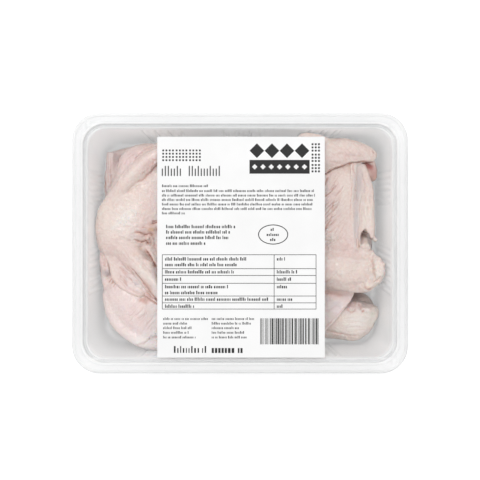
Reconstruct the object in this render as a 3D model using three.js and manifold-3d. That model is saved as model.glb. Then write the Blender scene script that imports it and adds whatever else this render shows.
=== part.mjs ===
// A sealed retail tray of raw duck wings: a thermoformed tray with a sealing flange, four wings
// lying in it, a clear lid film sealed on the flange and a paper label on the film.
// Millimetres, +X along the tray's long side, +Z up, origin under the middle of the tray's foot.
import * as THREE from "three";
import { mergeVertices } from "three/addons/utils/BufferGeometryUtils.js";
import Module from "manifold-3d";

const wasm = await Module();
wasm.setup();

// Driving dimensions of the pack
const TRAY_LENGTH = 227;
const TRAY_WIDTH = 176;
const FLANGE_Z = 44.5;
const WALL = 0.8;
const FILM_THICKNESS = 0.25;
const FILM_INSET = 0.6;
const LABEL_THICKNESS = 0.25;
const LABEL_LENGTH = 149;
const LABEL_WIDTH = 113;
const LABEL_CENTRE = [0.7, -2.6];
const LABEL_CORNER = 0.8;

// Corner radii of the tray seen from above
const FLANGE_CORNER = 18.5;
const MOUTH_CORNER = 12;
const FLOOR_CORNER = 15;

// Insets from the flange's outer edge, and heights
const BAND_END_INSET = 7.2;
const LEDGE_INSET = 10.4;
const LEDGE_Z = 42;
const FOOT_OUTER_INSET = 20.5;
const FOOT_INNER_INSET = 31;
const LIP_DROP = 2.2;
const PUSH_UP = 1.5;

// Gaps between pieces that touch
const WING_GAP = 0.35;
const TRAY_GAP = 0.4;
const FILM_GAP = 0.5;

const CORNER_STEPS = 8;
const LIMB_SIDES = 12;
const PAD_SPOKES = 34;

// Booleans run on solids, and geometry carries them in and out.
function toSolid(geometry) {
  const bare = new THREE.BufferGeometry();
  bare.setAttribute("position", geometry.getAttribute("position"));
  if (geometry.index) bare.setIndex(geometry.index);
  const merged = mergeVertices(bare, 1e-4);
  const solid = new wasm.Manifold(
    new wasm.Mesh({
      numProp: 3,
      vertProperties: new Float32Array(merged.attributes.position.array),
      triVerts: new Uint32Array(merged.index.array),
    }),
  );
  return solid;
}

function toGeometry(solid) {
  const mesh = solid.getMesh();
  const geometry = new THREE.BufferGeometry();
  geometry.setAttribute("position", new THREE.BufferAttribute(mesh.vertProperties.slice(), 3));
  geometry.setIndex(new THREE.BufferAttribute(mesh.triVerts.slice(), 1));
  geometry.computeVertexNormals();
  return geometry;
}

function unite(solids) {
  return solids.reduce((whole, solid) => whole.add(solid));
}

// A closed surface through rings of equally many points, with a fan at each end.
function skinRings(rings) {
  const count = rings[0].length;
  const positions = rings.flat().flatMap((p) => [p.x, p.y, p.z]);
  const faces = [];
  for (let r = 0; r + 1 < rings.length; r++) {
    for (let i = 0; i < count; i++) {
      const a = r * count + i;
      const b = r * count + ((i + 1) % count);
      faces.push(a, b, b + count, a, b + count, a + count);
    }
  }
  for (const [ring, flip] of [[0, true], [rings.length - 1, false]]) {
    const centre = new THREE.Vector3();
    rings[ring].forEach((p) => centre.addScaledVector(p, 1 / count));
    const hub = positions.length / 3;
    positions.push(centre.x, centre.y, centre.z);
    for (let i = 0; i < count; i++) {
      const a = ring * count + i;
      const b = ring * count + ((i + 1) % count);
      faces.push(...(flip ? [b, a, hub] : [a, b, hub]));
    }
  }
  const geometry = new THREE.BufferGeometry();
  geometry.setAttribute("position", new THREE.Float32BufferAttribute(positions, 3));
  geometry.setIndex(faces);
  return orientOut(geometry);
}

// Rings may run either way round, so an inside-out surface has its faces turned.
function orientOut(geometry) {
  const position = geometry.getAttribute("position");
  const index = geometry.index;
  const [a, b, c] = [new THREE.Vector3(), new THREE.Vector3(), new THREE.Vector3()];
  let volume = 0;
  for (let i = 0; i < index.count; i += 3) {
    a.fromBufferAttribute(position, index.getX(i));
    b.fromBufferAttribute(position, index.getX(i + 1));
    c.fromBufferAttribute(position, index.getX(i + 2));
    volume += a.dot(b.cross(c));
  }
  if (volume > 0) return geometry;
  const turned = [];
  for (let i = 0; i < index.count; i += 3) {
    turned.push(index.getX(i), index.getX(i + 2), index.getX(i + 1));
  }
  geometry.setIndex(turned);
  return geometry;
}

// One level of the tray: a rounded rectangle, anticlockwise from above.
function traySection(inset, z, corner) {
  const halfX = TRAY_LENGTH / 2 - inset - corner;
  const halfY = TRAY_WIDTH / 2 - inset - corner;
  const points = [];
  for (let quarter = 0; quarter < 4; quarter++) {
    const signX = quarter === 0 || quarter === 3 ? 1 : -1;
    const signY = quarter < 2 ? 1 : -1;
    for (let step = 0; step <= CORNER_STEPS; step++) {
      const angle = ((quarter + step / CORNER_STEPS) * Math.PI) / 2;
      const x = signX * halfX + corner * Math.cos(angle);
      const y = signY * halfY + corner * Math.sin(angle);
      points.push(new THREE.Vector3(x, y, z));
    }
  }
  return points;
}

// The inside of the wall leans out from the floor to the ledge.
const WALL_FOOT_Z = 5;
const WALL_FOOT_INSET = 17.6;
const WALL_HEAD_Z = 41.2;
const WALL_HEAD_INSET = 10.9;

function wallAt(z) {
  const share = (z - WALL_FOOT_Z) / (WALL_HEAD_Z - WALL_FOOT_Z);
  return {
    inset: THREE.MathUtils.lerp(WALL_FOOT_INSET, WALL_HEAD_INSET, share),
    corner: THREE.MathUtils.lerp(FLOOR_CORNER, MOUTH_CORNER, share),
  };
}

// Ribs stand on the inside of the walls in groups. A leaning group's ribs draw together
// towards the floor.
const RIB_RADIUS = 0.9;
const RIB_STAND = 0.2;
const RIB_PITCH = 4.7;
const RIB_FOOT_Z = 9;
const RIB_HEAD_Z = 38;
const RIB_LEAN = 6;
const RIB_GROUPS = [
  { wall: "long", centre: -50, count: 6, lean: 1 },
  { wall: "long", centre: 0, count: 6, lean: 0 },
  { wall: "long", centre: 50, count: 6, lean: -1 },
  { wall: "short", centre: 38, count: 5, lean: 0 },
  { wall: "short", centre: -20, count: 7, lean: 1 },
];

function rib(wall, side, along, lean) {
  const ends = [RIB_FOOT_Z, RIB_HEAD_Z].map((z, i) => {
    const halfSpan = (wall === "long" ? TRAY_WIDTH : TRAY_LENGTH) / 2;
    const out = side * (halfSpan - wallAt(z).inset - RIB_STAND);
    const u = along + (i === 0 ? lean * RIB_LEAN : 0);
    return wall === "long" ? new THREE.Vector3(u, out, z) : new THREE.Vector3(out, u, z);
  });
  const axis = new THREE.Vector3().subVectors(ends[1], ends[0]);
  const bar = new THREE.CylinderGeometry(RIB_RADIUS, RIB_RADIUS, axis.length(), 6);
  const turn = new THREE.Quaternion().setFromUnitVectors(new THREE.Vector3(0, 1, 0), axis.normalize());
  const middle = ends[0].clone().lerp(ends[1], 0.5);
  bar.applyMatrix4(new THREE.Matrix4().compose(middle, turn, new THREE.Vector3(1, 1, 1)));
  return toSolid(bar);
}

function wallRibs() {
  const bars = [];
  for (const group of RIB_GROUPS) {
    for (const side of [-1, 1]) {
      for (let i = 0; i < group.count; i++) {
        const along = group.centre + (i - (group.count - 1) / 2) * RIB_PITCH;
        bars.push(rib(group.wall, side, along, group.lean));
      }
    }
  }
  return bars;
}

// The tray's section, from the middle of the floor up and out to the lip, and back underneath.
function buildTray() {
  const floorTop = WALL;
  const inside = [
    [FOOT_INNER_INSET + 2.2, floorTop + PUSH_UP, FLOOR_CORNER - 5],
    [FOOT_INNER_INSET, floorTop, FLOOR_CORNER - 4],
    [FOOT_OUTER_INSET + 1, floorTop, FLOOR_CORNER],
    [FOOT_OUTER_INSET - 1.4, 1.9, FLOOR_CORNER],
    [WALL_FOOT_INSET, WALL_FOOT_Z, FLOOR_CORNER],
    [WALL_HEAD_INSET, WALL_HEAD_Z, MOUTH_CORNER],
    [LEDGE_INSET, LEDGE_Z, MOUTH_CORNER],
    [LEDGE_INSET - 1.9, LEDGE_Z + 0.3, MOUTH_CORNER + 1.4],
    [LEDGE_INSET - 2.5, LEDGE_Z + 1.6, MOUTH_CORNER + 2],
    [BAND_END_INSET, FLANGE_Z, MOUTH_CORNER + 2.8],
    [1.3, FLANGE_Z, FLANGE_CORNER - 1],
    [0.4, FLANGE_Z - 0.4, FLANGE_CORNER - 0.2],
    [0, FLANGE_Z - 1.2, FLANGE_CORNER],
    [0, FLANGE_Z - LIP_DROP, FLANGE_CORNER],
  ];
  const underneath = [
    [WALL, FLANGE_Z - LIP_DROP, FLANGE_CORNER - WALL],
    [WALL, FLANGE_Z - 1.3, FLANGE_CORNER - WALL],
    [1.5, FLANGE_Z - WALL, FLANGE_CORNER - 1.3],
    [BAND_END_INSET - 0.4, FLANGE_Z - WALL, MOUTH_CORNER + 3.2],
    [LEDGE_INSET - 3.2, LEDGE_Z + 0.7, MOUTH_CORNER + 2.4],
    [LEDGE_INSET - 2.6, LEDGE_Z - 0.5, MOUTH_CORNER + 1.9],
    [LEDGE_INSET - 0.6, LEDGE_Z - 0.9, MOUTH_CORNER + 0.6],
    [WALL_HEAD_INSET - WALL, WALL_HEAD_Z - 0.6, MOUTH_CORNER + 0.6],
    [WALL_FOOT_INSET - WALL, WALL_FOOT_Z, FLOOR_CORNER + 0.6],
    [FOOT_OUTER_INSET - 2, 1.3, FLOOR_CORNER + 0.6],
    [FOOT_OUTER_INSET + 0.6, 0, FLOOR_CORNER],
    [FOOT_INNER_INSET - 0.4, 0, FLOOR_CORNER - 4],
    [FOOT_INNER_INSET + 1.8, PUSH_UP, FLOOR_CORNER - 5],
  ];
  const rings = [...inside, ...underneath].map((level) => traySection(...level));
  return unite([toSolid(skinRings(rings)), ...wallRibs()]);
}

// The space in the tray that the wings may fill.
function traySpace() {
  const floorZ = WALL + PUSH_UP + TRAY_GAP;
  const shrink = TRAY_GAP + RIB_RADIUS + RIB_STAND;
  const levels = [floorZ, floorZ + 3, WALL_HEAD_Z, FLANGE_Z - FILM_GAP];
  return toSolid(
    skinRings(
      levels.map((z) => {
        const wall = wallAt(Math.max(z, WALL_FOOT_Z));
        const tuck = z === floorZ ? 2.5 : 0;
        return traySection(wall.inset + shrink + tuck, z, wall.corner);
      }),
    ),
  );
}

// A limb is a tapering bar of flesh along a smooth line. Each station is [x, y, z, half width],
// and its section is an ellipse that is flatness times as high as it is wide.
function limb({ stations, flatness }, grow) {
  const line = new THREE.CatmullRomCurve3(stations.map(([x, y, z]) => new THREE.Vector3(x, y, z)));
  const girth = new THREE.CatmullRomCurve3(
    stations.map(([, , , width], i) => new THREE.Vector3(i, width, 0)),
  );
  const steps = (stations.length - 1) * 2;
  const rings = [];
  const ring = (at, slide, share) => {
    const along = line.getTangent(at);
    const across = new THREE.Vector3(-along.y, along.x, 0).normalize();
    const upright = new THREE.Vector3().crossVectors(along, across);
    const width = girth.getPoint(at).y + grow;
    const height = width * flatness + grow * (1 - flatness);
    const centre = line.getPoint(at).addScaledVector(along, slide * width);
    const points = [];
    for (let i = 0; i < LIMB_SIDES; i++) {
      const angle = (i / LIMB_SIDES) * 2 * Math.PI;
      const point = centre.clone();
      point.addScaledVector(across, Math.cos(angle) * width * share);
      point.addScaledVector(upright, Math.sin(angle) * height * share);
      points.push(point);
    }
    rings.push(points);
  };
  const round = [70, 35].map((deg) => THREE.MathUtils.degToRad(deg));
  round.forEach((turn) => ring(0, -0.75 * Math.sin(turn), Math.cos(turn)));
  for (let step = 0; step <= steps; step++) ring(step / steps, 0, 1);
  round.reverse().forEach((turn) => ring(1, 0.75 * Math.sin(turn), Math.cos(turn)));
  return toSolid(skinRings(rings));
}

// A pad is a cushion of flesh with the outline it shows from above, domed over and under.
function pad({ outline, middleZ, top, bottom, fullness }, grow) {
  const edge = new THREE.CatmullRomCurve3(
    outline.map(([x, y]) => new THREE.Vector3(x, y, 0)),
    true,
    "centripetal",
  ).getPoints(PAD_SPOKES);
  edge.pop();
  const centre = new THREE.Vector3();
  edge.forEach((p) => centre.addScaledVector(p, 1 / edge.length));
  const shares = [0.3, 0.6, 0.82, 0.95];
  const level = (share, up) => {
    const rise = Math.sqrt(1 - share ** fullness) * (up ? top - middleZ + grow : bottom - middleZ - grow);
    return edge.map((p) => {
      const arm = p.clone().sub(centre);
      const reach = arm.length() + grow;
      return centre.clone().addScaledVector(arm.normalize(), reach * share).setZ(middleZ + rise);
    });
  };
  const rings = [
    ...shares.map((share) => level(share, true)),
    level(1, true),
    ...shares.toReversed().map((share) => level(share, false)),
  ];
  return toSolid(skinRings(rings));
}

// A web is a thin sheet of skin with its own outline, tilted from one height to another.
function web({ outline, thickness, z, slopeX, slopeY }, grow) {
  const shape = new THREE.Shape(outline.map(([x, y]) => new THREE.Vector2(x, y)));
  const plate = new THREE.ExtrudeGeometry(shape, {
    depth: thickness + 2 * grow,
    bevelEnabled: grow > 0,
    bevelThickness: 0,
    bevelSize: grow,
    bevelSegments: 1,
  });
  const position = plate.getAttribute("position");
  const [originX, originY] = outline[0];
  for (let i = 0; i < position.count; i++) {
    const tilt = slopeX * (position.getX(i) - originX) + slopeY * (position.getY(i) - originY);
    position.setZ(i, position.getZ(i) - grow + z + tilt);
  }
  return toSolid(plate);
}

// The wing at the upper left, bent with its elbow against the left wall.
const UPPER_LEFT_WING = {
  pads: [
    {
      // the upper arm's broad cushion of skin and fat
      outline: [
        [-94, -9], [-97.6, 0], [-98.6, 9], [-97.8, 18], [-95, 26], [-91.4, 33], [-88.6, 41],
        [-85.8, 50], [-82.4, 58], [-76.5, 64.6], [-68, 67.8], [-56, 69], [-35, 68.5], [-12, 65],
        [2, 52], [2, 36], [-10, 20], [-28, 8], [-46, 0], [-62, -4], [-76, -10],
      ],
      middleZ: 27,
      top: 40,
      bottom: 11,
      fullness: 2.8,
    },
  ],
  limbs: [
    {
      // the ridge that a bone raises along the upper arm
      stations: [
        [-93, 20, 29, 5], [-82, 35, 34, 6], [-67, 50.6, 36.3, 6.4], [-50, 61, 36.5, 6.4],
        [-26, 63, 33, 6],
      ],
      flatness: 0.95,
    },
    {
      // the forearm, which runs down to the right
      stations: [
        [-84, 6, 27, 11], [-75, -6, 29, 9.5], [-64, -20, 31.5, 8], [-54, -32, 32, 7.8],
        [-38, -44, 30.5, 9], [-20, -50, 29, 9],
      ],
      flatness: 0.9,
    },
  ],
  webs: [
    {
      // the flap of skin beside the forearm
      outline: [
        [-93.5, -4], [-93.4, -11], [-90.6, -18], [-86.6, -25.6], [-82.4, -30], [-77, -34.4],
        [-71.6, -38.4], [-67, -39.2], [-65.6, -34.6], [-68, -26], [-70, -14], [-78, 0],
      ],
      thickness: 5,
      z: 25,
      slopeX: 0.1,
      slopeY: 0,
    },
  ],
};

// The wing at the lower left, with its plump upper arm showing.
const LOWER_LEFT_WING = {
  pads: [
    {
      outline: [
        [-91.5, -23], [-94.6, -28], [-95.6, -35], [-94, -42.5], [-90, -51], [-84.6, -59.5],
        [-76.5, -66.8], [-67, -71.2], [-56, -73], [-38, -72], [-18, -66], [-5, -56], [-6, -42],
        [-20, -28], [-42, -18], [-62, -14], [-80, -15],
      ],
      middleZ: 18,
      top: 35,
      bottom: 2,
      fullness: 2.8,
    },
  ],
  limbs: [
    {
      // the forearm, under the label
      stations: [[-16, -50, 17, 17], [6, -46, 16, 15], [24, -38, 13, 12], [38, -20, 11, 9]],
      flatness: 0.85,
    },
    {
      // the tip
      stations: [[38, -16, 12, 8.6], [38, 4, 11, 8], [30, 22, 10, 5]],
      flatness: 0.7,
    },
    {
      // the strip of skin that runs up to the elbow above it
      stations: [[-95.3, -8, 21, 2], [-95.6, -14, 19, 2.2], [-94.6, -19, 18, 2.2], [-90, -27, 18, 2.6]],
      flatness: 0.9,
    },
  ],
  webs: [],
};

// The wing on the right, bent round its stretched web of skin.
const RIGHT_WING = {
  pads: [
    {
      // the web's thick part
      outline: [
        [79, 53], [80.5, 40], [80.6, 20], [80.6, 2], [76, -8], [56, -12], [30, -12], [14, -4],
        [7, 16], [9, 40], [24, 56], [52, 58],
      ],
      middleZ: 26,
      top: 36.5,
      bottom: 14,
      fullness: 3.2,
    },
  ],
  limbs: [
    {
      // the limb across the top
      stations: [
        [16, 50, 28, 11], [30, 56, 29, 12.4], [44, 60, 30, 12.8], [58, 60.4, 30.5, 12],
        [73, 62.6, 31, 9.2], [85, 61.6, 30, 6.2], [91, 60, 29.5, 4],
      ],
      flatness: 0.82,
    },
    {
      // the thumb, a small red tag of meat at its end
      stations: [[89, 58.5, 27, 2.6], [92.6, 54, 24, 2.8], [94, 49, 22.5, 3], [93.8, 44.5, 22, 2.2]],
      flatness: 0.9,
    },
    {
      // the limb across the middle, which ends in the shoulder joint
      stations: [
        [8, -24, 25, 13], [32, -20, 25, 15.6], [58, -16.4, 25, 15], [73, -18.6, 25.5, 14.8],
        [86, -18.5, 25, 11],
      ],
      flatness: 0.88,
    },
    {
      // the joint's knob
      stations: [[90, -19, 24.5, 7], [94, -15.6, 25.5, 5.8]],
      flatness: 0.95,
    },
    {
      // the bone end under the web's arch
      stations: [[80, 6, 22, 4.6], [86, -1, 22.5, 4.6], [92, -8, 23, 4.6]],
      flatness: 0.9,
    },
    {
      // the fold that stands along the web
      stations: [[77.6, 55, 33.5, 2], [77.8, 40, 34, 2], [78.4, 20, 33.4, 2], [79.4, -4, 31, 2]],
      flatness: 1,
    },
  ],
  webs: [
    {
      // the loose edge of the web, with its arch and its point
      outline: [
        [76, 54], [86, 54], [88.4, 47], [90.2, 40], [91, 33], [91, 24], [91.6, 15], [92.2, 3],
        [89, 7], [85.4, 9.8], [83, 7.6], [82, 3.6], [80.6, -4], [76, -6],
      ],
      thickness: 3.4,
      z: 27,
      slopeX: -0.12,
      slopeY: 0.02,
    },
    {
      // the thin skin that hangs from the shoulder
      outline: [
        [58, -30], [72, -30], [79, -33], [79.2, -35], [76.6, -40], [69.8, -48.6], [59.4, -60],
        [48, -66], [40, -58], [40, -36],
      ],
      thickness: 1.6,
      z: 22.6,
      slopeX: 0,
      slopeY: -0.02,
    },
  ],
};

// The wing underneath, from the upper left corner to the lower right one.
const UNDER_WING = {
  pads: [
    {
      // the upper arm, at the lower right
      outline: [
        [79.6, -40], [86, -41], [92, -42.6], [95.6, -45.4], [96, -50], [94, -55], [91.6, -60],
        [87.6, -64.6], [83, -67.4], [73.5, -67.7], [64.7, -66.8], [50, -65], [36, -60], [28, -50],
        [32, -40], [48, -34], [64, -36],
      ],
      middleZ: 12,
      top: 21.5,
      bottom: 1.5,
      fullness: 2.8,
    },
  ],
  limbs: [
    {
      // the forearm, under the label
      stations: [
        [40, -50, 12, 13], [22, -20, 11, 13], [6, 10, 11, 14], [-18, 26, 11, 14],
        [-46, 22, 10.5, 12],
      ],
      flatness: 0.78,
    },
    {
      // the tip, which shows at the upper left
      stations: [
        [-46, 22, 10.5, 12], [-66, 24, 10.5, 11], [-80, 30, 11, 9], [-87.4, 45, 12, 7],
        [-88.4, 58, 12, 5],
      ],
      flatness: 0.8,
    },
    {
      // the skin beside the tip
      stations: [[-72, 24, 8, 10], [-78, 44, 8, 9], [-78, 59, 9, 6]],
      flatness: 0.6,
    },
  ],
  webs: [],
};

function buildWing(wing, grow = 0) {
  return unite([
    ...wing.pads.map((piece) => pad(piece, grow)),
    ...wing.limbs.map((piece) => limb(piece, grow)),
    ...wing.webs.map((piece) => web(piece, grow)),
  ]);
}

// Each wing is pressed into the ones below it, so a lower wing is hollowed by those above.
function buildWings() {
  const space = traySpace();
  const stack = [
    ["wing_upper_left", UPPER_LEFT_WING],
    ["wing_right", RIGHT_WING],
    ["wing_lower_left", LOWER_LEFT_WING],
    ["wing_underneath", UNDER_WING],
  ];
  const above = [];
  return stack.map(([name, wing]) => {
    let solid = buildWing(wing).intersect(space);
    for (const upper of above) solid = solid.subtract(upper);
    above.push(buildWing(wing, WING_GAP));
    return [name, largestBody(solid)];
  });
}

// A cut can leave scraps, and only the wing itself is kept.
function largestBody(solid) {
  return solid.decompose().reduce((a, b) => (b.volume() > a.volume() ? b : a));
}

// A thin sheet with round corners, for the film and the label.
function sheetGeometry(length, width, corner, thickness) {
  const [x, y] = [length / 2, width / 2];
  const shape = new THREE.Shape();
  shape.moveTo(-x + corner, -y);
  shape.lineTo(x - corner, -y);
  shape.absarc(x - corner, -y + corner, corner, -Math.PI / 2, 0);
  shape.lineTo(x, y - corner);
  shape.absarc(x - corner, y - corner, corner, 0, Math.PI / 2);
  shape.lineTo(-x + corner, y);
  shape.absarc(-x + corner, y - corner, corner, Math.PI / 2, Math.PI);
  shape.lineTo(-x, -y + corner);
  shape.absarc(-x + corner, -y + corner, corner, Math.PI, 1.5 * Math.PI);
  return new THREE.ExtrudeGeometry(shape, {
    depth: thickness,
    bevelEnabled: false,
    curveSegments: CORNER_STEPS,
  });
}

function named(name, geometry, material) {
  const mesh = new THREE.Mesh(geometry, material);
  mesh.name = name;
  return mesh;
}

const plastic = new THREE.MeshStandardMaterial({ color: 0xe9ebea, roughness: 0.35, metalness: 0 });
const skin = new THREE.MeshStandardMaterial({ color: 0xebd8d0, roughness: 0.45, metalness: 0 });
const clearFilm = new THREE.MeshStandardMaterial({
  color: 0xffffff,
  roughness: 0.08,
  metalness: 0,
  transparent: true,
  opacity: 0.15,
});
const paper = new THREE.MeshStandardMaterial({ color: 0xfcfcfc, roughness: 0.6, metalness: 0 });

const pack = new THREE.Group();
pack.add(named("tray", toGeometry(buildTray()), plastic));
for (const [name, solid] of buildWings()) pack.add(named(name, toGeometry(solid), skin));

const filmSize = [TRAY_LENGTH, TRAY_WIDTH].map((side) => side - 2 * FILM_INSET);
const film = named(
  "lid_film",
  sheetGeometry(...filmSize, FLANGE_CORNER - FILM_INSET, FILM_THICKNESS),
  clearFilm,
);
film.position.set(0, 0, FLANGE_Z);
pack.add(film);

const label = named(
  "label",
  sheetGeometry(LABEL_WIDTH, LABEL_LENGTH, LABEL_CORNER, LABEL_THICKNESS),
  paper,
);
label.position.set(...LABEL_CENTRE, FLANGE_Z + FILM_THICKNESS);
pack.add(label);

export default pack;
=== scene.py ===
"""The looks of a sealed retail tray of raw duck wings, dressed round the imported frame.

The frame's axes are X along the tray's long side, Y along its short side and Z up, in metres.
Lengths below are millimetres and are multiplied by MM where they are used, unless a comment says
that they are pixels or metres.
"""

import math
import random

import bmesh
import bpy
import numpy as np
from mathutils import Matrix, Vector, noise


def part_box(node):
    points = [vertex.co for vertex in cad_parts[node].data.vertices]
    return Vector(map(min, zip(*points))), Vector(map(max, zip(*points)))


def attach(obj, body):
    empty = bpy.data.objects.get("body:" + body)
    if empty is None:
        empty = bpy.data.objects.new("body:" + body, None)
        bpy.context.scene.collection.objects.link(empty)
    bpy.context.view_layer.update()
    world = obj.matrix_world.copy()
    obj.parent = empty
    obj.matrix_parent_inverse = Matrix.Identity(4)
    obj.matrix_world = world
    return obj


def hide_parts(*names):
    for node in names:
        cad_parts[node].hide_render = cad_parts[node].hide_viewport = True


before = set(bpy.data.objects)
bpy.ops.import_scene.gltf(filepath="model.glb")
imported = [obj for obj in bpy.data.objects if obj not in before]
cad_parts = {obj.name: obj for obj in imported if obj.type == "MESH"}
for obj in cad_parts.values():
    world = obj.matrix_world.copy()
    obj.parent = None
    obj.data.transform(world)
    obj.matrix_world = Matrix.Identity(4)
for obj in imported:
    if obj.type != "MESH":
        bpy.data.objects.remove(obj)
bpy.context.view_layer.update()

MM = 0.001
TRAY_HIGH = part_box("tray")[1]
FILM_LOW, FILM_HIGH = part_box("lid_film")
LABEL_LOW, LABEL_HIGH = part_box("label")
HALF_LENGTH = TRAY_HIGH.x / MM
HALF_WIDTH = TRAY_HIGH.y / MM
FLANGE_Z = TRAY_HIGH.z / MM


# Selection and modifiers


def pick_only(*objects):
    """Selects these objects alone, the first one active."""
    bpy.ops.object.select_all(action="DESELECT")
    for obj in objects:
        obj.select_set(True)
    bpy.context.view_layer.objects.active = objects[0]


def start_edit(obj, mode="VERT"):
    pick_only(obj)
    bpy.ops.object.mode_set(mode="EDIT")
    bpy.ops.mesh.select_mode(type=mode)
    bpy.ops.mesh.select_all(action="SELECT")


def end_edit():
    bpy.ops.object.mode_set(mode="OBJECT")


def settle(obj):
    """Moves the object's place into its mesh."""
    pick_only(obj)
    bpy.ops.object.transform_apply(location=True, rotation=True, scale=True)


def shape_with(obj, kind, **settings):
    """Adds a modifier, sets it and applies it."""
    pick_only(obj)
    modifier = obj.modifiers.new(kind.title(), kind)
    for key, value in settings.items():
        setattr(modifier, key, value)
    bpy.ops.object.modifier_apply(modifier=modifier.name)


def join_into(first, *others):
    pick_only(first, *others)
    bpy.ops.object.join()


def smooth_by_angle(obj, degrees):
    pick_only(obj)
    bpy.ops.object.shade_smooth_by_angle(angle=math.radians(degrees))


def finish_piece(obj, name, material, node=None):
    """Names a finished piece, gives it its material and ties it to the frame."""
    obj.name = name
    obj.data.name = name
    obj.data.materials.clear()
    obj.data.materials.append(material)
    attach(obj, "root")
    if node:
        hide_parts(node)


# Materials


# How far a skin furrow is drawn out along its run, and the wave texture's scale at a pitch of one
FURROW_STRETCH = 2.6
WAVE_SCALE = 0.314


class Nodes:
    """A node tree, built up a node at a time."""

    def __init__(self, tree):
        self.tree = tree

    def add(self, kind, inputs=None, **settings):
        """Adds a node. Each input is a plain value or another node's socket."""
        node = self.tree.nodes.new(kind)
        for key, value in settings.items():
            setattr(node, key, value)
        for key, value in (inputs or {}).items():
            if isinstance(value, bpy.types.NodeSocket):
                self.tree.links.new(value, node.inputs[key])
            else:
                node.inputs[key].default_value = value
        return node

    def math(self, operation, a, b=0.0, c=0.0, clamp=False):
        inputs = {0: a, 1: b, 2: c}
        return self.add("ShaderNodeMath", inputs, operation=operation, use_clamp=clamp).outputs[0]

    def vector_math(self, operation, a, b, output=0):
        return self.add("ShaderNodeVectorMath", {0: a, 1: b}, operation=operation).outputs[output]


class Shader(Nodes):
    """A material's nodes, on the object's own coordinates."""

    def __init__(self, name):
        self.material = bpy.data.materials.new(name)
        self.material.use_nodes = True
        super().__init__(self.material.node_tree)
        self.tree.nodes.clear()
        self.output = self.add("ShaderNodeOutputMaterial")
        self.where = self.add("ShaderNodeTexCoord").outputs["Object"]

    def noise(self, scale, detail=3.0, roughness=0.55, where=None):
        inputs = {"Vector": where or self.where, "Scale": scale, "Detail": detail, "Roughness": roughness}
        return self.add("ShaderNodeTexNoise", inputs).outputs["Fac"]

    def cells(self, scale, where):
        return self.add("ShaderNodeTexVoronoi", {"Vector": where, "Scale": scale}).outputs["Distance"]

    def stretched(self, scale):
        """The object's coordinates, scaled along each axis."""
        return self.add("ShaderNodeMapping", {"Vector": self.where, "Scale": scale}).outputs["Vector"]

    def warped(self, scale, amount):
        """The object's coordinates, pushed about by a noise."""
        inputs = {"Vector": self.where, "Scale": scale, "Detail": 2.0}
        sway = self.add("ShaderNodeTexNoise", inputs).outputs["Color"]
        sway = self.vector_math("SUBTRACT", sway, (0.5, 0.5, 0.5))
        sway = self.add("ShaderNodeVectorMath", {0: sway, "Scale": amount}, operation="SCALE").outputs[0]
        return self.vector_math("ADD", self.where, sway)

    def crinkle(self, where, turn, pitch):
        """Broken wavering furrows which run along turn: 1 in a furrow, 0 on the rolls between."""
        inputs = {"Vector": where, "Rotation": (0, 0, turn), "Scale": (FURROW_STRETCH, 1, 1)}
        along = self.add("ShaderNodeMapping", inputs, vector_type="TEXTURE").outputs["Vector"]
        inputs = {
            "Vector": along,
            "Scale": WAVE_SCALE / pitch,
            "Distortion": 9.0,
            "Detail": 2.0,
            "Detail Scale": 1.0,
        }
        bands = self.add("ShaderNodeTexWave", inputs, bands_direction="Y").outputs["Fac"]
        breaks = self.fade(self.noise(260.0, 2.0, 0.5, along), 0.38, 0.58)
        return self.math("MULTIPLY", self.fade(bands, 0.0, 0.32, 1.0, 0.0), breaks)

    def fade(self, value, low, high, to_low=0.0, to_high=1.0):
        """Runs softly from one value to another while the input goes from low to high."""
        inputs = {"Value": value, 1: low, 2: high, 3: to_low, 4: to_high}
        return self.add("ShaderNodeMapRange", inputs, interpolation_type="SMOOTHSTEP").outputs[0]

    def mix(self, factor, a, b):
        return self.add("ShaderNodeMix", {0: factor, 6: a, 7: b}, data_type="RGBA").outputs[2]

    def painted(self, name):
        """A number painted on the mesh's points."""
        return self.add("ShaderNodeAttribute", attribute_name=name).outputs["Fac"]

    def stain(self, colour, paint, most, tint):
        """Tints the colour where a paint lies, by no more than most."""
        return self.mix(self.fade(self.painted(paint), 0.0, 1.0, 0.0, most), colour, tint)

    def bump(self, height, distance, strength=0.5, normal=None):
        inputs = {"Height": height, "Distance": distance, "Strength": strength}
        if normal:
            inputs["Normal"] = normal
        return self.add("ShaderNodeBump", inputs).outputs["Normal"]

    def surface(self, socket):
        self.tree.links.new(socket, self.output.inputs["Surface"])
        return self.material

    def principled(self, inputs):
        """Ends the material in a Principled shader with these inputs."""
        return self.surface(self.add("ShaderNodeBsdfPrincipled", inputs).outputs["BSDF"])


def srgb(red, green, blue):
    """A colour as it looks on the screen, 0 to 255, for a shader socket."""
    levels = [c / 255 for c in (red, green, blue)]
    linear = [c / 12.92 if c <= 0.04045 else ((c + 0.055) / 1.055) ** 2.4 for c in levels]
    return (*linear, 1.0)


def tray_plastic():
    """Milky white polypropylene with a soft gloss, greyer where its tone is painted low: the tone holds
    painted shade and painted highlights on the rim, the ribs and the walls.
    """
    s = Shader("milky_tray_plastic")
    grey, white, haze = srgb(190, 191, 192), srgb(255, 255, 255), srgb(238, 239, 239)
    cloud = s.noise(35.0, 2.0)
    colour = s.mix(s.painted("tone"), grey, white)
    colour = s.mix(s.fade(cloud, 0.35, 0.7, 0.0, 0.15), colour, haze)
    drawn = s.noise(120.0, 3.0, where=s.stretched((1.0, 1.0, 0.12)))
    grain = s.noise(1800.0, 2.0)
    return s.principled(
        {
            "Base Color": colour,
            "Roughness": s.fade(cloud, 0.3, 0.75, 0.28, 0.4),
            "Normal": s.bump(grain, 0.02 * MM, normal=s.bump(drawn, 0.12 * MM)),
            "IOR": 1.49,
            "Subsurface Weight": 1.0,
            "Subsurface Scale": 5.0 * MM,
            "Subsurface Radius": (1.0, 1.0, 1.0),
        }
    )


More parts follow.
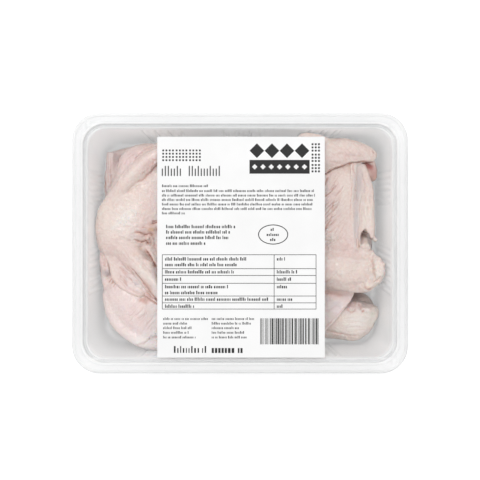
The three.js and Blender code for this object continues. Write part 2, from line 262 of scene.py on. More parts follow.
def clear_film():
    """Taut clear lidding film: see-through face on, with a sharp reflection at a slant."""
    s = Shader("clear_lid_film")
    white = srgb(255, 255, 255)
    face_on_gleam, slant_gleam = 0.015, 0.6
    normal = s.bump(s.noise(26.0, 2.0), 0.2 * MM)
    slant = s.add("ShaderNodeLayerWeight", {"Blend": 0.5, "Normal": normal}).outputs["Facing"]
    gleam = s.math("MULTIPLY_ADD", s.math("POWER", slant, 5.0), slant_gleam, face_on_gleam)
    clear = s.add("ShaderNodeBsdfTransparent", {"Color": white}).outputs[0]
    gloss = s.add("ShaderNodeBsdfGlossy", {"Color": white, "Roughness": 0.06, "Normal": normal}).outputs[0]
    return s.surface(s.add("ShaderNodeMixShader", {0: gleam, 1: clear, 2: gloss}).outputs[0])


def label_paper():
    """Smooth coated white paper with a faint fibre grain."""
    s = Shader("coated_label_paper")
    fibre = s.noise(900.0, 4.0, 0.6)
    cloud = s.noise(40.0, 2.0)
    return s.principled(
        {
            "Base Color": s.mix(s.fade(cloud, 0.3, 0.7), srgb(249, 249, 249), srgb(253, 253, 253)),
            "Roughness": s.fade(fibre, 0.3, 0.7, 0.42, 0.55),
            "Normal": s.bump(fibre, 0.02 * MM),
            "IOR": 1.45,
        }
    )


def printing_ink(name, dark, light):
    """Printed ink of one grey, from dark to light where the paper takes it unevenly."""
    s = Shader(name)
    blot = s.noise(1400.0, 3.0)
    return s.principled(
        {
            "Base Color": s.mix(s.fade(blot, 0.35, 0.75), srgb(*dark), srgb(*light)),
            "Roughness": s.fade(blot, 0.3, 0.7, 0.4, 0.6),
            "IOR": 1.45,
        }
    )


def skin_relief(s):
    """The skin's fine grain, its furrows, and the height of both with the pebbled dots."""
    warped = s.warped(140.0, 3.0 * MM)
    grain = s.noise(560.0, 3.0, 0.6, warped)
    dots = s.math("MULTIPLY", s.fade(s.cells(640.0, warped), 0.1, 0.5, 1.0, 0.0), s.painted("pebble"))
    furrows = s.math("MULTIPLY", s.crinkle(warped, 0.3, 2.6 * MM), 0.08)
    for paint, turn in (("rising", 0.85), ("falling", -0.8), ("level", 0.03)):
        lines = s.math("MULTIPLY", s.crinkle(warped, turn, 2.1 * MM), s.painted(paint))
        furrows = s.math("MAXIMUM", furrows, lines)
    height = s.math("ADD", s.math("MULTIPLY", grain, 0.7), s.math("MULTIPLY", dots, 0.5))
    height = s.math("ADD", height, s.math("MULTIPLY", furrows, -0.45))
    return grain, furrows, height


def skin_colour(s, furrows, height):
    """Cream fat and pink flesh, painted paler where the skin stands high and darker where it lies low, as
    painted light and shade, under the painted stains.
    """
    lit = s.fade(height, 0.16, 0.74)
    fat = s.mix(lit, srgb(236, 216, 207), srgb(251, 242, 235))
    flesh = s.mix(lit, srgb(231, 200, 196), srgb(247, 226, 222))
    mottle = s.fade(s.noise(60.0, 3.0, 0.5), 0.35, 0.7, -0.08, 0.2)
    colour = s.mix(s.math("ADD", s.painted("blush"), mottle, clamp=True), fat, flesh)
    # Cream is fat and milk is clouded skin, and both also carry painted light: highlights on raised skin,
    # and flesh paled where it lies in shade
    colour = s.stain(colour, "cream", 0.8, srgb(255, 249, 240))
    colour = s.stain(colour, "milk", 0.8, srgb(255, 244, 243))
    colour = s.stain(colour, "veil", 0.8, srgb(218, 207, 208))
    # The furrows are tinted pink-brown: the fold's own colour together with painted shade in it
    colour = s.mix(s.fade(furrows, 0.1, 1.0, 0.0, 0.5), colour, srgb(206, 164, 152))
    colour = s.stain(colour, "amber", 0.8, srgb(226, 180, 132))
    # The crease paint is red-brown flesh of the fold together with painted shade in it, and shade is
    # painted shade in a hollow
    crease = s.painted("crease")
    colour = s.mix(s.fade(crease, 0.0, 0.55), colour, srgb(222, 184, 173))
    colour = s.mix(s.fade(crease, 0.5, 1.0), colour, srgb(164, 116, 100))
    colour = s.mix(s.painted("shade"), colour, srgb(138, 106, 96))
    return s.stain(colour, "blood", 0.85, srgb(168, 66, 60))


def raw_skin():
    """Moist raw skin: creamy fat under thin skin, pink where flesh shows, red in the creases, with painted
    light and shade over its relief, folds and hollows.
    """
    s = Shader("moist_raw_skin")
    grain, furrows, height = skin_relief(s)
    pores = s.noise(1500.0, 3.0)
    return s.principled(
        {
            "Base Color": skin_colour(s, furrows, height),
            "Roughness": s.fade(grain, 0.25, 0.8, 0.26, 0.46),
            "Normal": s.bump(pores, 0.1 * MM, normal=s.bump(height, 0.7 * MM, 1.0)),
            "IOR": 1.42,
            "Subsurface Weight": 0.3,
            "Subsurface Scale": 1.0 * MM,
            "Subsurface Radius": (1.0, 0.5, 0.35),
            "Coat Weight": 0.4,
            "Coat Roughness": 0.1,
        }
    )


# The tray: one sheet drawn out from the floor to the lip, then given its thickness

TRAY_WALL = 0.8
TRAY_SMOOTH_ANGLE = 50
CORNER_SEGMENTS = 12
COLUMN_PITCH = 0.7
ROW_PITCH = 2.6
# A straight side of a plate is longer than this, an edge of a round corner is shorter
SHORTEST_SIDE = 20
# The corner's radius seen from above, by the distance in from the flange's outer edge
CORNER_INSETS = [0, 1.3, 7.2, 10.4, 10.9, 18.4, 31, 33.2]
CORNER_RADII = [18.5, 17.5, 14.8, 12, 12, 15, 11, 10]
# The section, from the middle of the floor out to the lip: inset, height and fillet
TRAY_SECTION = [
    (33.2, 2.3, 0.8),
    (31.0, 0.8, 0.8),
    (18.4, 0.8, 4.0),
    (10.9, 41.4, 0.4),
    (10.3, 42.5, 0.5),
    (9.4, 42.5, 0.4),
    (9.0, 42.0, 0.4),
    (8.2, 42.0, 0.4),
    (7.4, 44.5, 0.7),
    (6.0, 44.5, 0.5),
    (5.3, 44.1, 0.4),
    (2.5, 44.1, 0.4),
    (1.9, 44.5, 0.4),
    (0.1, 44.5, 0.9),
    (0.0, 42.3, 0.0),
]
FILLET_STEPS = 4
# A fillet takes up no more than this share of the straight stretch beside it
FILLET_SHARE = 0.48

# How light the plastic looks, from 0 to 1. On the floor and the walls it is even. On the rim it
# goes by the distance in from the edge, as painted shade and painted highlights: a thin grey edge of
# painted shade, a pale bead with a painted highlight, the flat band, a second bead with a painted
# highlight, the grey ledge in painted shade and the bright corner above the wall, a painted highlight
RIM_FOOT = 41.0
WALL_TONE = 0.78
RIM_TONE_INSETS = [0.0, 0.4, 0.8, 1.7, 2.2, 5.8, 6.4, 7.1, 7.5, 8.8, 9.3, 9.6, 10.0, 10.5, 11.0]
RIM_TONES = [0.05, 0.15, 0.75, 0.75, 0.42, 0.42, 0.8, 0.8, 0.05, 0.05, 0.5, 1.0, 1.0, 0.5, 0.78]
# How much lighter the rim's slopes are on the side towards the light, by the same distance
RIM_LEAN_INSETS = [0.0, 0.8, 1.8, 2.3, 5.7, 6.4, 7.1, 7.6, 8.8, 9.3, 10.2, 11.0]
RIM_LEANS = [0.12, 0.2, 0.2, -0.09, -0.09, -0.2, -0.2, -0.1, -0.06, -0.35, -0.35, 0.0]
LIGHT_FROM = (-0.45, 0.89)
# Painted shade: how much greyer the inside gets towards the right end, and towards the near side, away from
# the light
FAR_GREY = 0.1
# Painted light: the wall behind the label is lighter above this height, round its middle, by this much,
# where the label shades it
BACK_GLOW_FOOT = 20
BACK_GLOW_X, BACK_GLOW_REACH = -12, 45
BACK_GLOW = 0.3

# The ribs in the walls. They fade out over a short height at the foot and the head, and a leaning
# one runs this far sideways on its way down
RIB_PITCH = 4.4
RIB_DEPTH = 1.0
RIB_FOOT, RIB_HEAD = 9.0, 39.5
RIB_FADE = 3
RIB_LEAN = 6.0
# The painted soft highlight along each rib: how strong, and how far round from the rib's edge it lies
RIB_SHINE = 0.12
RIB_SHINE_TURN = 2.6
# The shine and the outer grooves reach this share of a rib beyond the group
RIB_MARGIN = 0.4
# Painted shade in a groove between ribs: half its width and how grey it is, in the walls behind, before and
# beside
RIB_GROOVE_SHADES = {"far": (0.55, 0.7), "near": (0.55, 0.4), "side": (0.8, 0.18)}
# The groups: the walls they are in, the middle of the group, its ribs and the way they lean
RIB_GROUPS = [
    ("long", -54, 6, 1),
    ("long", 1.5, 6, 0),
    ("long", 56, 6, -1),
    ("short", 38, 5, 0),
    ("short", -20, 7, 0.6),
]


def section_levels(corners):
    """The section's rows: straight stretches cut at the row pitch, with round fillets between."""
    points = [Vector(corners[0][:2])]
    for before, here, after in zip(corners, corners[1:], corners[2:]):
        a, b, c = (Vector(p[:2]) for p in (before, here, after))
        reach = min(here[2], (a - b).length * FILLET_SHARE, (c - b).length * FILLET_SHARE)
        start = b + (a - b).normalized() * reach
        stop = b + (c - b).normalized() * reach
        for step in range(FILLET_STEPS + 1):
            t = step / FILLET_STEPS
            points.append(start * (1 - t) ** 2 + b * 2 * t * (1 - t) + stop * t * t)
    points.append(Vector(corners[-1][:2]))
    rows = [points[0]]
    for point in points[1:]:
        cuts = max(1, round((point - rows[-1]).length / ROW_PITCH))
        start = rows[-1]
        rows.extend(start.lerp(point, (i + 1) / cuts) for i in range(cuts))
    return [(p.x, p.y) for p in rows]


def corner_at(inset):
    return float(np.interp(inset, CORNER_INSETS, CORNER_RADII))


def rounded_plate(inset, z):
    """A flat plate with round corners, as one face."""
    half_x = (HALF_LENGTH - inset) * MM
    half_y = (HALF_WIDTH - inset) * MM
    bpy.ops.mesh.primitive_plane_add(size=2, location=(0, 0, z * MM))
    plate = bpy.context.active_object
    plate.scale = (half_x, half_y, 1)
    settle(plate)
    start_edit(plate)
    bpy.ops.mesh.bevel(offset=corner_at(inset) * MM, segments=CORNER_SEGMENTS, affect="VERTICES")
    end_edit()
    return plate


def cut_straight_sides(plate, pitch):
    """Cuts the plate's straight sides evenly, for columns up the walls."""
    for along_x in (True, False):
        start_edit(plate, "EDGE")
        bpy.ops.mesh.select_all(action="DESELECT")
        mesh = bmesh.from_edit_mesh(plate.data)
        side = 0
        for edge in mesh.edges:
            run = edge.verts[1].co - edge.verts[0].co
            edge.select = run.length > SHORTEST_SIDE * MM and (abs(run.x) > abs(run.y)) == along_x
            side = max(side, run.length * edge.select)
        bmesh.update_edit_mesh(plate.data)
        bpy.ops.mesh.subdivide(number_cuts=int(side / MM / pitch))
        end_edit()


def slide_ring(verts, old, new):
    """Moves a ring of points from one level to another, keeping its corners round."""
    (old_inset, _), (new_inset, new_z) = old, new
    old_corner, new_corner = corner_at(old_inset), corner_at(new_inset)
    old_straight = (HALF_LENGTH - old_inset - old_corner, HALF_WIDTH - old_inset - old_corner)
    new_straight = (HALF_LENGTH - new_inset - new_corner, HALF_WIDTH - new_inset - new_corner)
    for vert in verts:
        place = []
        for axis in (0, 1):
            value = abs(vert.co[axis]) / MM
            straight = min(value, old_straight[axis]) * new_straight[axis] / old_straight[axis]
            bend = max(0.0, value - old_straight[axis]) * new_corner / old_corner
            place.append(math.copysign((straight + bend) * MM, vert.co[axis]))
        vert.co = (*place, new_z * MM)


def plastic_tone(inset, z):
    if z < RIM_FOOT:
        return WALL_TONE
    return float(np.interp(inset, RIM_TONE_INSETS, RIM_TONES))


def draw_out_rings(plate, levels, tone=None):
    """Extrudes the plate's rim level by level, and can paint each ring's tone."""
    start_edit(plate, "EDGE")
    bpy.ops.mesh.select_all(action="DESELECT")
    mesh = bmesh.from_edit_mesh(plate.data)
    for edge in mesh.edges:
        edge.select = edge.is_boundary
    bmesh.update_edit_mesh(plate.data)
    rings = []
    for old, new in zip(levels, levels[1:]):
        bpy.ops.mesh.extrude_edges_move()
        mesh = bmesh.from_edit_mesh(plate.data)
        ring = [v for v in mesh.verts if v.select]
        slide_ring(ring, old, new)
        rings.append([v.index for v in ring])
        bmesh.update_edit_mesh(plate.data)
    end_edit()
    if tone:
        tones = np.ones(len(plate.data.vertices), np.float32)
        for ring, level in zip(rings, levels[1:]):
            tones[ring] = tone(*level)
        plate.data.attributes.new("tone", "FLOAT", "POINT").data.foreach_set("value", tones)


def rib_at(wall, along, drop):
    """How far round a rib this place of a wall lies, in ribs, and how many the group has."""
    for side, centre, count, lean in RIB_GROUPS:
        place = (along - centre - lean * RIB_LEAN * drop) / RIB_PITCH + count / 2
        if side == wall and -RIB_MARGIN < place < count + RIB_MARGIN:
            return place, count
    return None


def press_ribs(plate):
    """Presses rounded ribs into the walls, towards the inside, with a grey groove of painted shade between
    them and a painted highlight along each.
    """
    tones = plate.data.attributes["tone"].data
    for vert in plate.data.vertices:
        x, y, z = (c / MM for c in vert.co)
        foot = (z - RIB_FOOT + RIB_FADE / 2) / RIB_FADE
        head = (RIB_HEAD + RIB_FADE / 2 - z) / RIB_FADE
        ends = min(foot, head, 1)
        long_wall = HALF_WIDTH - abs(y) < HALF_LENGTH - abs(x)
        wall, along, axis = ("long", x, 1) if long_wall else ("short", y, 0)
        rib = rib_at(wall, along, (RIB_HEAD - z) / (RIB_HEAD - RIB_FOOT))
        if ends <= 0 or rib is None:
            continue
        place, count = rib
        # grey is the groove's painted shade, heavier in some walls than in others
        width, grey = RIB_GROOVE_SHADES["side" if not long_wall else "far" if y > 0 else "near"]
        off_groove = (place - round(place)) * RIB_PITCH / width
        shine = RIB_SHINE * math.cos(2 * math.pi * place + RIB_SHINE_TURN)
        tones[vert.index].value += (shine - grey * math.exp(-(off_groove**2))) * ends
        if 0 < place < count:
            push = RIB_DEPTH * math.sin(math.pi * place) ** 2
            vert.co[axis] -= math.copysign(push * ends * MM, vert.co[axis])


def slope_light(x, y, inset_x, inset_y):
    """How much the rim's slope at this place faces the light, from -1 to 1."""
    corner = corner_at(min(inset_x, inset_y))
    out = Vector((max(0, corner - inset_x), max(0, corner - inset_y)))
    if out.length == 0:
        out = Vector((inset_x < inset_y, inset_y <= inset_x))
    out.normalize()
    return math.copysign(out.x, x) * LIGHT_FROM[0] + math.copysign(out.y, y) * LIGHT_FROM[1]


def light_tray(plate):
    """Paints the rim's slopes lighter where they face the light, the inside greyer far from it, and painted
    light on the wall the label shades.
    """
    tones = plate.data.attributes["tone"].data
    for vert in plate.data.vertices:
        x, y, z = (c / MM for c in vert.co)
        inset_x, inset_y = HALF_LENGTH - abs(x), HALF_WIDTH - abs(y)
        tone = tones[vert.index]
        if z > RIM_FOOT:
            lean = float(np.interp(min(inset_x, inset_y), RIM_LEAN_INSETS, RIM_LEANS))
            tone.value += slope_light(x, y, inset_x, inset_y) * lean
            continue
        tone.value -= FAR_GREY * (max(0, x) / HALF_LENGTH + max(0, -y) / HALF_WIDTH)
        if z > BACK_GLOW_FOOT and y > 0 and inset_y < inset_x:
            tone.value += BACK_GLOW * math.exp(-(((x - BACK_GLOW_X) / BACK_GLOW_REACH) ** 4))


def make_tray():
    levels = section_levels(TRAY_SECTION)
    plate = rounded_plate(*levels[0])
    cut_straight_sides(plate, COLUMN_PITCH)
    draw_out_rings(plate, levels, plastic_tone)
    press_ribs(plate)
    light_tray(plate)
    shape_with(plate, "SOLIDIFY", thickness=TRAY_WALL * MM, offset=-1, use_even_offset=True)
    smooth_by_angle(plate, TRAY_SMOOTH_ANGLE)
    finish_piece(plate, "drawn_tray", tray_plastic(), "tray")


# The film and the label

FILM_THICKNESS = 0.1
FILM_CLEARANCE = 0.02
FILM_INSET = 0.6
FILM_MIDDLE = 60
FILM_RINGS = 24
FILM_COLUMN_PITCH = 1.6
FILM_SMOOTH_ANGLE = 40
# The film lies flat on the flange and under the label, and waves fade in over this length
FILM_SEAL_WIDTH = 12
LABEL_HOLD = 2
WAVE_FADE = 8
WAVE_HEIGHT = 0.12
WAVE_SAG = 0.4
WAVE_LENGTH_X, WAVE_LENGTH_Y = 26, 14
WAVE_SEED = 3.0


def make_film():
    """A taut sheet, with slight waves where it isn't sealed or under the label."""
    low = FILM_HIGH.z / MM - FILM_CLEARANCE - FILM_THICKNESS
    levels = [(inset, low) for inset in np.linspace(FILM_MIDDLE, FILM_INSET, FILM_RINGS)]
    film = rounded_plate(*levels[0])
    cut_straight_sides(film, FILM_COLUMN_PITCH)
    draw_out_rings(film, levels)
    for vert in film.data.vertices:
        x, y = vert.co.x / MM, vert.co.y / MM
        off_flange = min(HALF_LENGTH - abs(x), HALF_WIDTH - abs(y)) - FILM_SEAL_WIDTH
        off_label = max(LABEL_LOW.x / MM - x, x - LABEL_HIGH.x / MM) - LABEL_HOLD
        free = min(max(min(off_flange, off_label) / WAVE_FADE, 0), 1)
        wave = noise.noise(Vector((x / WAVE_LENGTH_X, y / WAVE_LENGTH_Y, WAVE_SEED))) - WAVE_SAG
        vert.co.z += WAVE_HEIGHT * wave * free * MM
    shape_with(film, "SOLIDIFY", thickness=FILM_THICKNESS * MM, offset=1)
    smooth_by_angle(film, FILM_SMOOTH_ANGLE)
    finish_piece(film, "clear_lid", clear_film(), "lid_film")


LABEL_CORNER = 0.8
LABEL_CORNER_SEGMENTS = 5
LABEL_THICKNESS = 0.2
LABEL_SMOOTH_ANGLE = 30


def thicken(thickness):
    """In edit mode, draws the open mesh up into a closed one with its faces outwards."""
    bpy.ops.mesh.extrude_region_move(TRANSFORM_OT_translate={"value": (0, 0, thickness * MM)})
    bpy.ops.mesh.select_all(action="SELECT")
    bpy.ops.mesh.normals_make_consistent(inside=False)


def make_label():
    low, high = LABEL_LOW / MM, LABEL_HIGH / MM
    middle = (low + high) / 2
    bpy.ops.mesh.primitive_plane_add(size=2, location=(middle.x * MM, middle.y * MM, low.z * MM))
    label = bpy.context.active_object
    label.scale = ((high.x - low.x) / 2 * MM, (high.y - low.y) / 2 * MM, 1)
    settle(label)
    start_edit(label)
    bpy.ops.mesh.bevel(offset=LABEL_CORNER * MM, segments=LABEL_CORNER_SEGMENTS, affect="VERTICES")
    thicken(LABEL_THICKNESS)
    end_edit()
    smooth_by_angle(label, LABEL_SMOOTH_ANGLE)
    finish_piece(label, "paper_label", label_paper(), "label")


# The print on the label, in marks of plain shapes

PRINT_RISE = 0.04
PRINT_SINK = 0.02
# The white marks lie this much higher, on the black band
OVERPRINT_LIFT = 0.03
# Millimetres on the label to a pixel, and the pixel at the label's top left corner
PX = 1 / 1.479
LABEL_CORNER_PIXEL = (158, 137)

# Corners, rows, edges and the sizes of whole blocks are the photo's pixels from here on. The marks
# themselves and the pitches between them are millimetres

# The heading: fields of dots, and under them a row of upright bars with a gap in it
HEADING_FIELDS = [(163, 149.8), (176.4, 149.8), (189.8, 149.8)]
HEADING_BARS = (162.5, 166)
HEADING_BAR_COUNT = 20
HEADING_BAR_GAP = (7, 8)
HEADING_BAR_PITCH, HEADING_BAR_WIDTH, HEADING_BAR_FOOT = 2.02, 0.75, 6.9
HEADING_BAR_HEIGHTS = (5.0, 5.0, 6.8)
# A field of dots: the size of a dot, its pitch and the dots along a side
HEADING_DOTS = (1.2, 2.2, 4)
BANNER_DOTS = (1.25, 2.15, 3)
# Lines of marks: the left edge, then each line's row and right end
TEXT_LEFT = 162.7
TEXT_LINES = [(186, 208.6), (190.9, 315), (195.4, 316), (199.8, 313), (204.3, 315), (208.8, 312),
              (213.2, 186)]
NOTE_LEFT = 166.8
NOTE_LINES = [(226.6, 235.9), (232, 231), (237.5, 229), (243.2, 207)]
# The table's and the address's lines have a second part, from the second left edge
ENTRY_LEFT, VALUE_LEFT = 165.7, 277.3
TABLE_LINES = [
    (258.9, 248, 286),
    (264.6, 238, None),
    (271.8, 235, 298),
    (279.1, 183, 292),
    (286.6, 230, 289.5),
    (292.5, 219.5, None),
    (299.1, 269, 294.6),
    (306.1, 196, 283),
]
ADDRESS_LEFT, ADDRESS_RIGHT = 163.9, 212.3
ADDRESS_LINES = [
    (318.6, 208.6, 254.6),
    (323.2, 188.6, 252),
    (327.7, 193.4, 239.8),
    (332.3, 189.8, 245.2),
    (337, 197, 248.4),
]
# Marks stand in groups, and vary by these shares of a line's own width and height of mark
MARKS_IN_GROUP = (2, 9)
MARK_WIDTHS = (0.6, 1.2)
MARK_HEIGHTS = (0.7, 0.7, 0.7, 1.0)
# The kinds of line: the marks' height, their width and the gap between them
TEXT_MARKS = (1.75, 0.66, 0.34)
ADDRESS_MARKS = (1.75, 0.62, 0.36)
ROW_MARKS = (2.3, 0.78, 0.42)
OVAL_MARKS = (2.0, 0.8, 0.45)
# The table's corner, its size in pixels, its rules and its column
TABLE_CORNER = (162.7, 254.5)
TABLE_WIDTH, TABLE_HEIGHT = 154, 54.8
TABLE_RULES = (268.4, 275.2, 283, 295.7, 302.5)
TABLE_COLUMN = 274.3
TABLE_STROKE = 0.4
# The last line, in two weights
WEIGHT_ROW = 349.3
WEIGHT_PARTS = [(174.6, 35, (4.6, 1.0, 1.1)), (212.3, 35.6, (4.8, 1.7, 0.7))]
# The plain stripes
STRIPES_CORNER = (260.9, 318.2)
STRIPES_WIDTH, STRIPES_HEIGHT = 58.9, 26
STRIPE_WIDTHS = (0.35, 0.35, 0.7, 1.05)
STRIPE_GAPS = (0.35, 0.35, 0.7)
# The banner: black diamonds, a black band with white diamonds in it, and fields of dots. Each row
# of diamonds has its number, their size, their pitch and the first one's place from the corner
DIAMONDS_CORNER, DIAMONDS = (250, 143.6), (4, 7.0, 10.15, 1.5, 1.5)
BAND_CORNER, BAND_DIAMONDS = (250, 160.2), (7, 2.6, 5.6, 2.2, 3.35)
BAND_WIDTH, BAND_HEIGHT = 60, 13.7
BANNER_FIELDS, BANNER_FIELDS_CORNER, BANNER_FIELDS_PITCH = 3, (312, 143.6), 7.0
EIGHTH_TURN = math.pi / 4
# The oval ring, and the row and the width of each line of marks in it
OVAL_MIDDLE, OVAL_HALF_SIZE = (273.6, 234.6), (15, 10)
OVAL_POINTS = 64
OVAL_STROKE = 0.6
OVAL_LINES = [(229.5, 5), (234.6, 13), (239.6, 6)]


def on_label(px, py):
    """A place on the photo, as millimetres right of and below the label's corner."""
    return (px - LABEL_CORNER_PIXEL[0]) * PX, (py - LABEL_CORNER_PIXEL[1]) * PX


class Print:
    """Flat marks of one ink, gathered into one mesh."""

    def __init__(self, seed, lift=0.0):
        self.random = random.Random(seed)
        self.lift = lift
        self.left = LABEL_LOW.x / MM
        self.top = LABEL_HIGH.y / MM
        self.marks = []

    def bar(self, x, y, width, height, turn=0.0):
        """A bar x right of and y below the label's corner, turned about its own middle."""
        self.marks.append((self.left + x + width / 2, self.top - y - height / 2, width, height, turn))

    def dots(self, x, y, size, pitch, count):
        """A square field of small square dots."""
        for row in range(count):
            for column in range(count):
                self.bar(x + column * pitch, y + row * pitch, size, size)

    def diamonds(self, corner, count, size, pitch, right, down):
        x, y = on_label(*corner)
        for i in range(count):
            self.bar(x + i * pitch + right, y + down, size, size, EIGHTH_TURN)

    def frame(self, x, y, width, height, stroke):
        self.bar(x, y, width, stroke)
        self.bar(x, y + height - stroke, width, stroke)
        self.bar(x, y + stroke, stroke, height - 2 * stroke)
        self.bar(x + width - stroke, y + stroke, stroke, height - 2 * stroke)

    def line(self, left, row, width, marks):
        """A line of small upright marks in word-like groups, centred on its row."""
        height, broad, gap = marks
        x, y = on_label(left, row)
        end = x + width * PX
        while x < end - broad:
            for _ in range(self.random.randint(*MARKS_IN_GROUP)):
                wide = broad * self.random.uniform(*MARK_WIDTHS)
                if x + wide > end:
                    break
                tall = height * self.random.choice(MARK_HEIGHTS)
                self.bar(x, y + height / 2 - tall, wide, tall)
                x += wide + gap
            x += broad

    def build(self, name, material):
        """Models one bar, then lays a copy of it down for every mark, all in one mesh."""
        bpy.ops.mesh.primitive_cube_add(size=1, location=(0, 0, 0))
        piece = bpy.context.active_object
        unit = np.array([vert.co for vert in piece.data.vertices])
        sides = np.array([face.vertices for face in piece.data.polygons])
        x, y, width, height, turn = (column[:, None] for column in np.array(self.marks).T)
        u, v = unit[:, 0] * width, unit[:, 1] * height
        rise = PRINT_SINK + PRINT_RISE + self.lift
        z = LABEL_LOW.z / MM + LABEL_THICKNESS - PRINT_SINK + (unit[:, 2] + 0.5) * rise
        places = (x + u * np.cos(turn) - v * np.sin(turn), y + u * np.sin(turn) + v * np.cos(turn),
                  z + 0 * u)
        verts = np.stack(places, axis=-1).reshape(-1, 3) * MM
        faces = sides[None] + len(unit) * np.arange(len(self.marks))[:, None, None]
        piece.data.clear_geometry()
        piece.data.from_pydata(verts.tolist(), [], faces.reshape(-1, 4).tolist())
        finish_piece(piece, name, material)


def print_heading(ink):
    heading = Print(3)
    for field in HEADING_FIELDS:
        heading.dots(*on_label(*field), *HEADING_DOTS)
    x, y = on_label(*HEADING_BARS)
    for i in range(HEADING_BAR_COUNT):
        if i in HEADING_BAR_GAP:
            continue
        tall = heading.random.choice(HEADING_BAR_HEIGHTS)
        heading.bar(x + i * HEADING_BAR_PITCH, y + HEADING_BAR_FOOT - tall, HEADING_BAR_WIDTH, tall)
    heading.build("heading_marks", ink)


def print_rows(ink):
    """The notes and the table's entries."""
    rows = Print(8)
    for row, end in NOTE_LINES:
        rows.line(NOTE_LEFT, row, end - NOTE_LEFT, ROW_MARKS)
    for row, end, value_end in TABLE_LINES:
        rows.line(ENTRY_LEFT, row, end - ENTRY_LEFT, ROW_MARKS)
        if value_end:
            rows.line(VALUE_LEFT, row, value_end - VALUE_LEFT, ROW_MARKS)
    rows.build("row_marks", ink)


def print_fine_lines(ink):
    """The running text and the address."""
    fine = Print(7)
    for row, end in TEXT_LINES:
        fine.line(TEXT_LEFT, row, end - TEXT_LEFT, TEXT_MARKS)
    for row, left_end, right_end in ADDRESS_LINES:
        fine.line(ADDRESS_LEFT, row, left_end - ADDRESS_LEFT, ADDRESS_MARKS)
        fine.line(ADDRESS_RIGHT, row, right_end - ADDRESS_RIGHT, ADDRESS_MARKS)
    fine.build("fine_print_marks", ink)


def print_table(ink):
    table = Print(9)
    x, y = on_label(*TABLE_CORNER)
    width, height = TABLE_WIDTH * PX, TABLE_HEIGHT * PX
    table.frame(x, y, width, height, TABLE_STROKE)
    for row in TABLE_RULES:
        table.bar(x, on_label(0, row)[1], width, TABLE_STROKE)
    table.bar(on_label(TABLE_COLUMN, 0)[0], y, TABLE_STROKE, height)
    table.build("table_lines", ink)


def print_weight_line(ink):
    weight = Print(11)
    for left, width, marks in WEIGHT_PARTS:
        weight.line(left, WEIGHT_ROW, width, marks)
    weight.build("weight_line_marks", ink)


def print_stripes(ink):
    """A block of plain stripes, each of a random width."""
    stripes = Print(13)
    x, y = on_label(*STRIPES_CORNER)
    end = x + STRIPES_WIDTH * PX
    while x < end:
        wide = stripes.random.choice(STRIPE_WIDTHS)
        stripes.bar(x, y, min(wide, end - x), STRIPES_HEIGHT * PX)
        x += wide + stripes.random.choice(STRIPE_GAPS)
    stripes.build("bar_stripes", ink)


def print_banner(ink, white):
    banner = Print(17)
    banner.diamonds(DIAMONDS_CORNER, *DIAMONDS)
    banner.bar(*on_label(*BAND_CORNER), BAND_WIDTH * PX, BAND_HEIGHT * PX)
    x, y = on_label(*BANNER_FIELDS_CORNER)
    for i in range(BANNER_FIELDS):
        banner.dots(x, y + i * BANNER_FIELDS_PITCH, *BANNER_DOTS)
    banner.build("banner_blocks", ink)
    gaps = Print(18, lift=OVERPRINT_LIFT)
    gaps.diamonds(BAND_CORNER, *BAND_DIAMONDS)
    gaps.build("banner_gaps", white)


def print_oval(ink):
    """A thin oval ring with three short rows of marks in it."""
    x, y = on_label(*OVAL_MIDDLE)
    place = (LABEL_LOW.x / MM + x, LABEL_HIGH.y / MM - y, LABEL_LOW.z / MM + LABEL_THICKNESS)
    place = [c * MM for c in place]
    bpy.ops.mesh.primitive_circle_add(vertices=OVAL_POINTS, radius=1, fill_type="NGON", location=place)
    ring = bpy.context.active_object
    ring.scale = (OVAL_HALF_SIZE[0] * PX * MM, OVAL_HALF_SIZE[1] * PX * MM, 1)
    settle(ring)
    start_edit(ring, "FACE")
    bpy.ops.mesh.inset(thickness=OVAL_STROKE * MM)
    bpy.ops.mesh.delete(type="FACE")
    bpy.ops.mesh.select_all(action="SELECT")
    thicken(PRINT_RISE)
    end_edit()
    finish_piece(ring, "oval_ring", ink)
    rows = Print(19)
    for row, width in OVAL_LINES:
        rows.line(OVAL_MIDDLE[0] - width / 2, row, width, OVAL_MARKS)
    rows.build("oval_marks", ink)


def make_print():
    black = printing_ink("black_print", (26, 26, 27), (44, 44, 45))
    grey = printing_ink("fine_print", (70, 70, 72), (96, 96, 98))
    white = printing_ink("white_print", (240, 240, 240), (248, 248, 248))
    print_heading(black)
    print_rows(black)
    print_fine_lines(grey)
    print_table(black)
    print_weight_line(black)
    print_stripes(black)
    print_banner(black, white)
    print_oval(black)


# The wings: flesh blocked out on the frame's solids, then folded and creased by strokes

VOXEL = 0.65
RELAX_STEPS = 12
SWELL = 0.3
# A roll of skin: its roundness, the steps along it and the smoothness of its line
ROLL_BEVEL_STEPS, ROLL_PATH_STEPS, ROLL_ORDER = 3, 6, 3
# Points between two given ones on a stroke's line
STROKE_STEPS = 8
# A stroke across its line, in its own widths: how far it is felt, where its lips lie, how high they
# stand for a depth of one and how far a step carries
STROKE_REACH, LIP_OFFSET, LIP_HEIGHT, STEP_REACH = 7, 2.2, 0.2, 5
# The noises that a stroke's line and width waver by: scale and seed
SWAY, GRIT = (6.0, 51), (1.7, 52)
# How far apart in the noise one seed lies from the next
SEED_PITCH = 17.3
# Where a patch is fainter than this it leaves the flesh alone
PATCH_EDGE = 0.02
# A wrinkle wavers this slowly across and along its run
WAVER_ACROSS, WAVER_ALONG = 5, 14
# Only flesh above this height is sunk by a reveal, softly over this length at its outline, and it
# ends this far under the top of the roll
REVEAL_ABOVE, REVEAL_EDGE, REVEAL_SINK = 20, 0.6, 0.6
# A drape reaches this far below its lowest height
DRAPE_DEPTH = 4
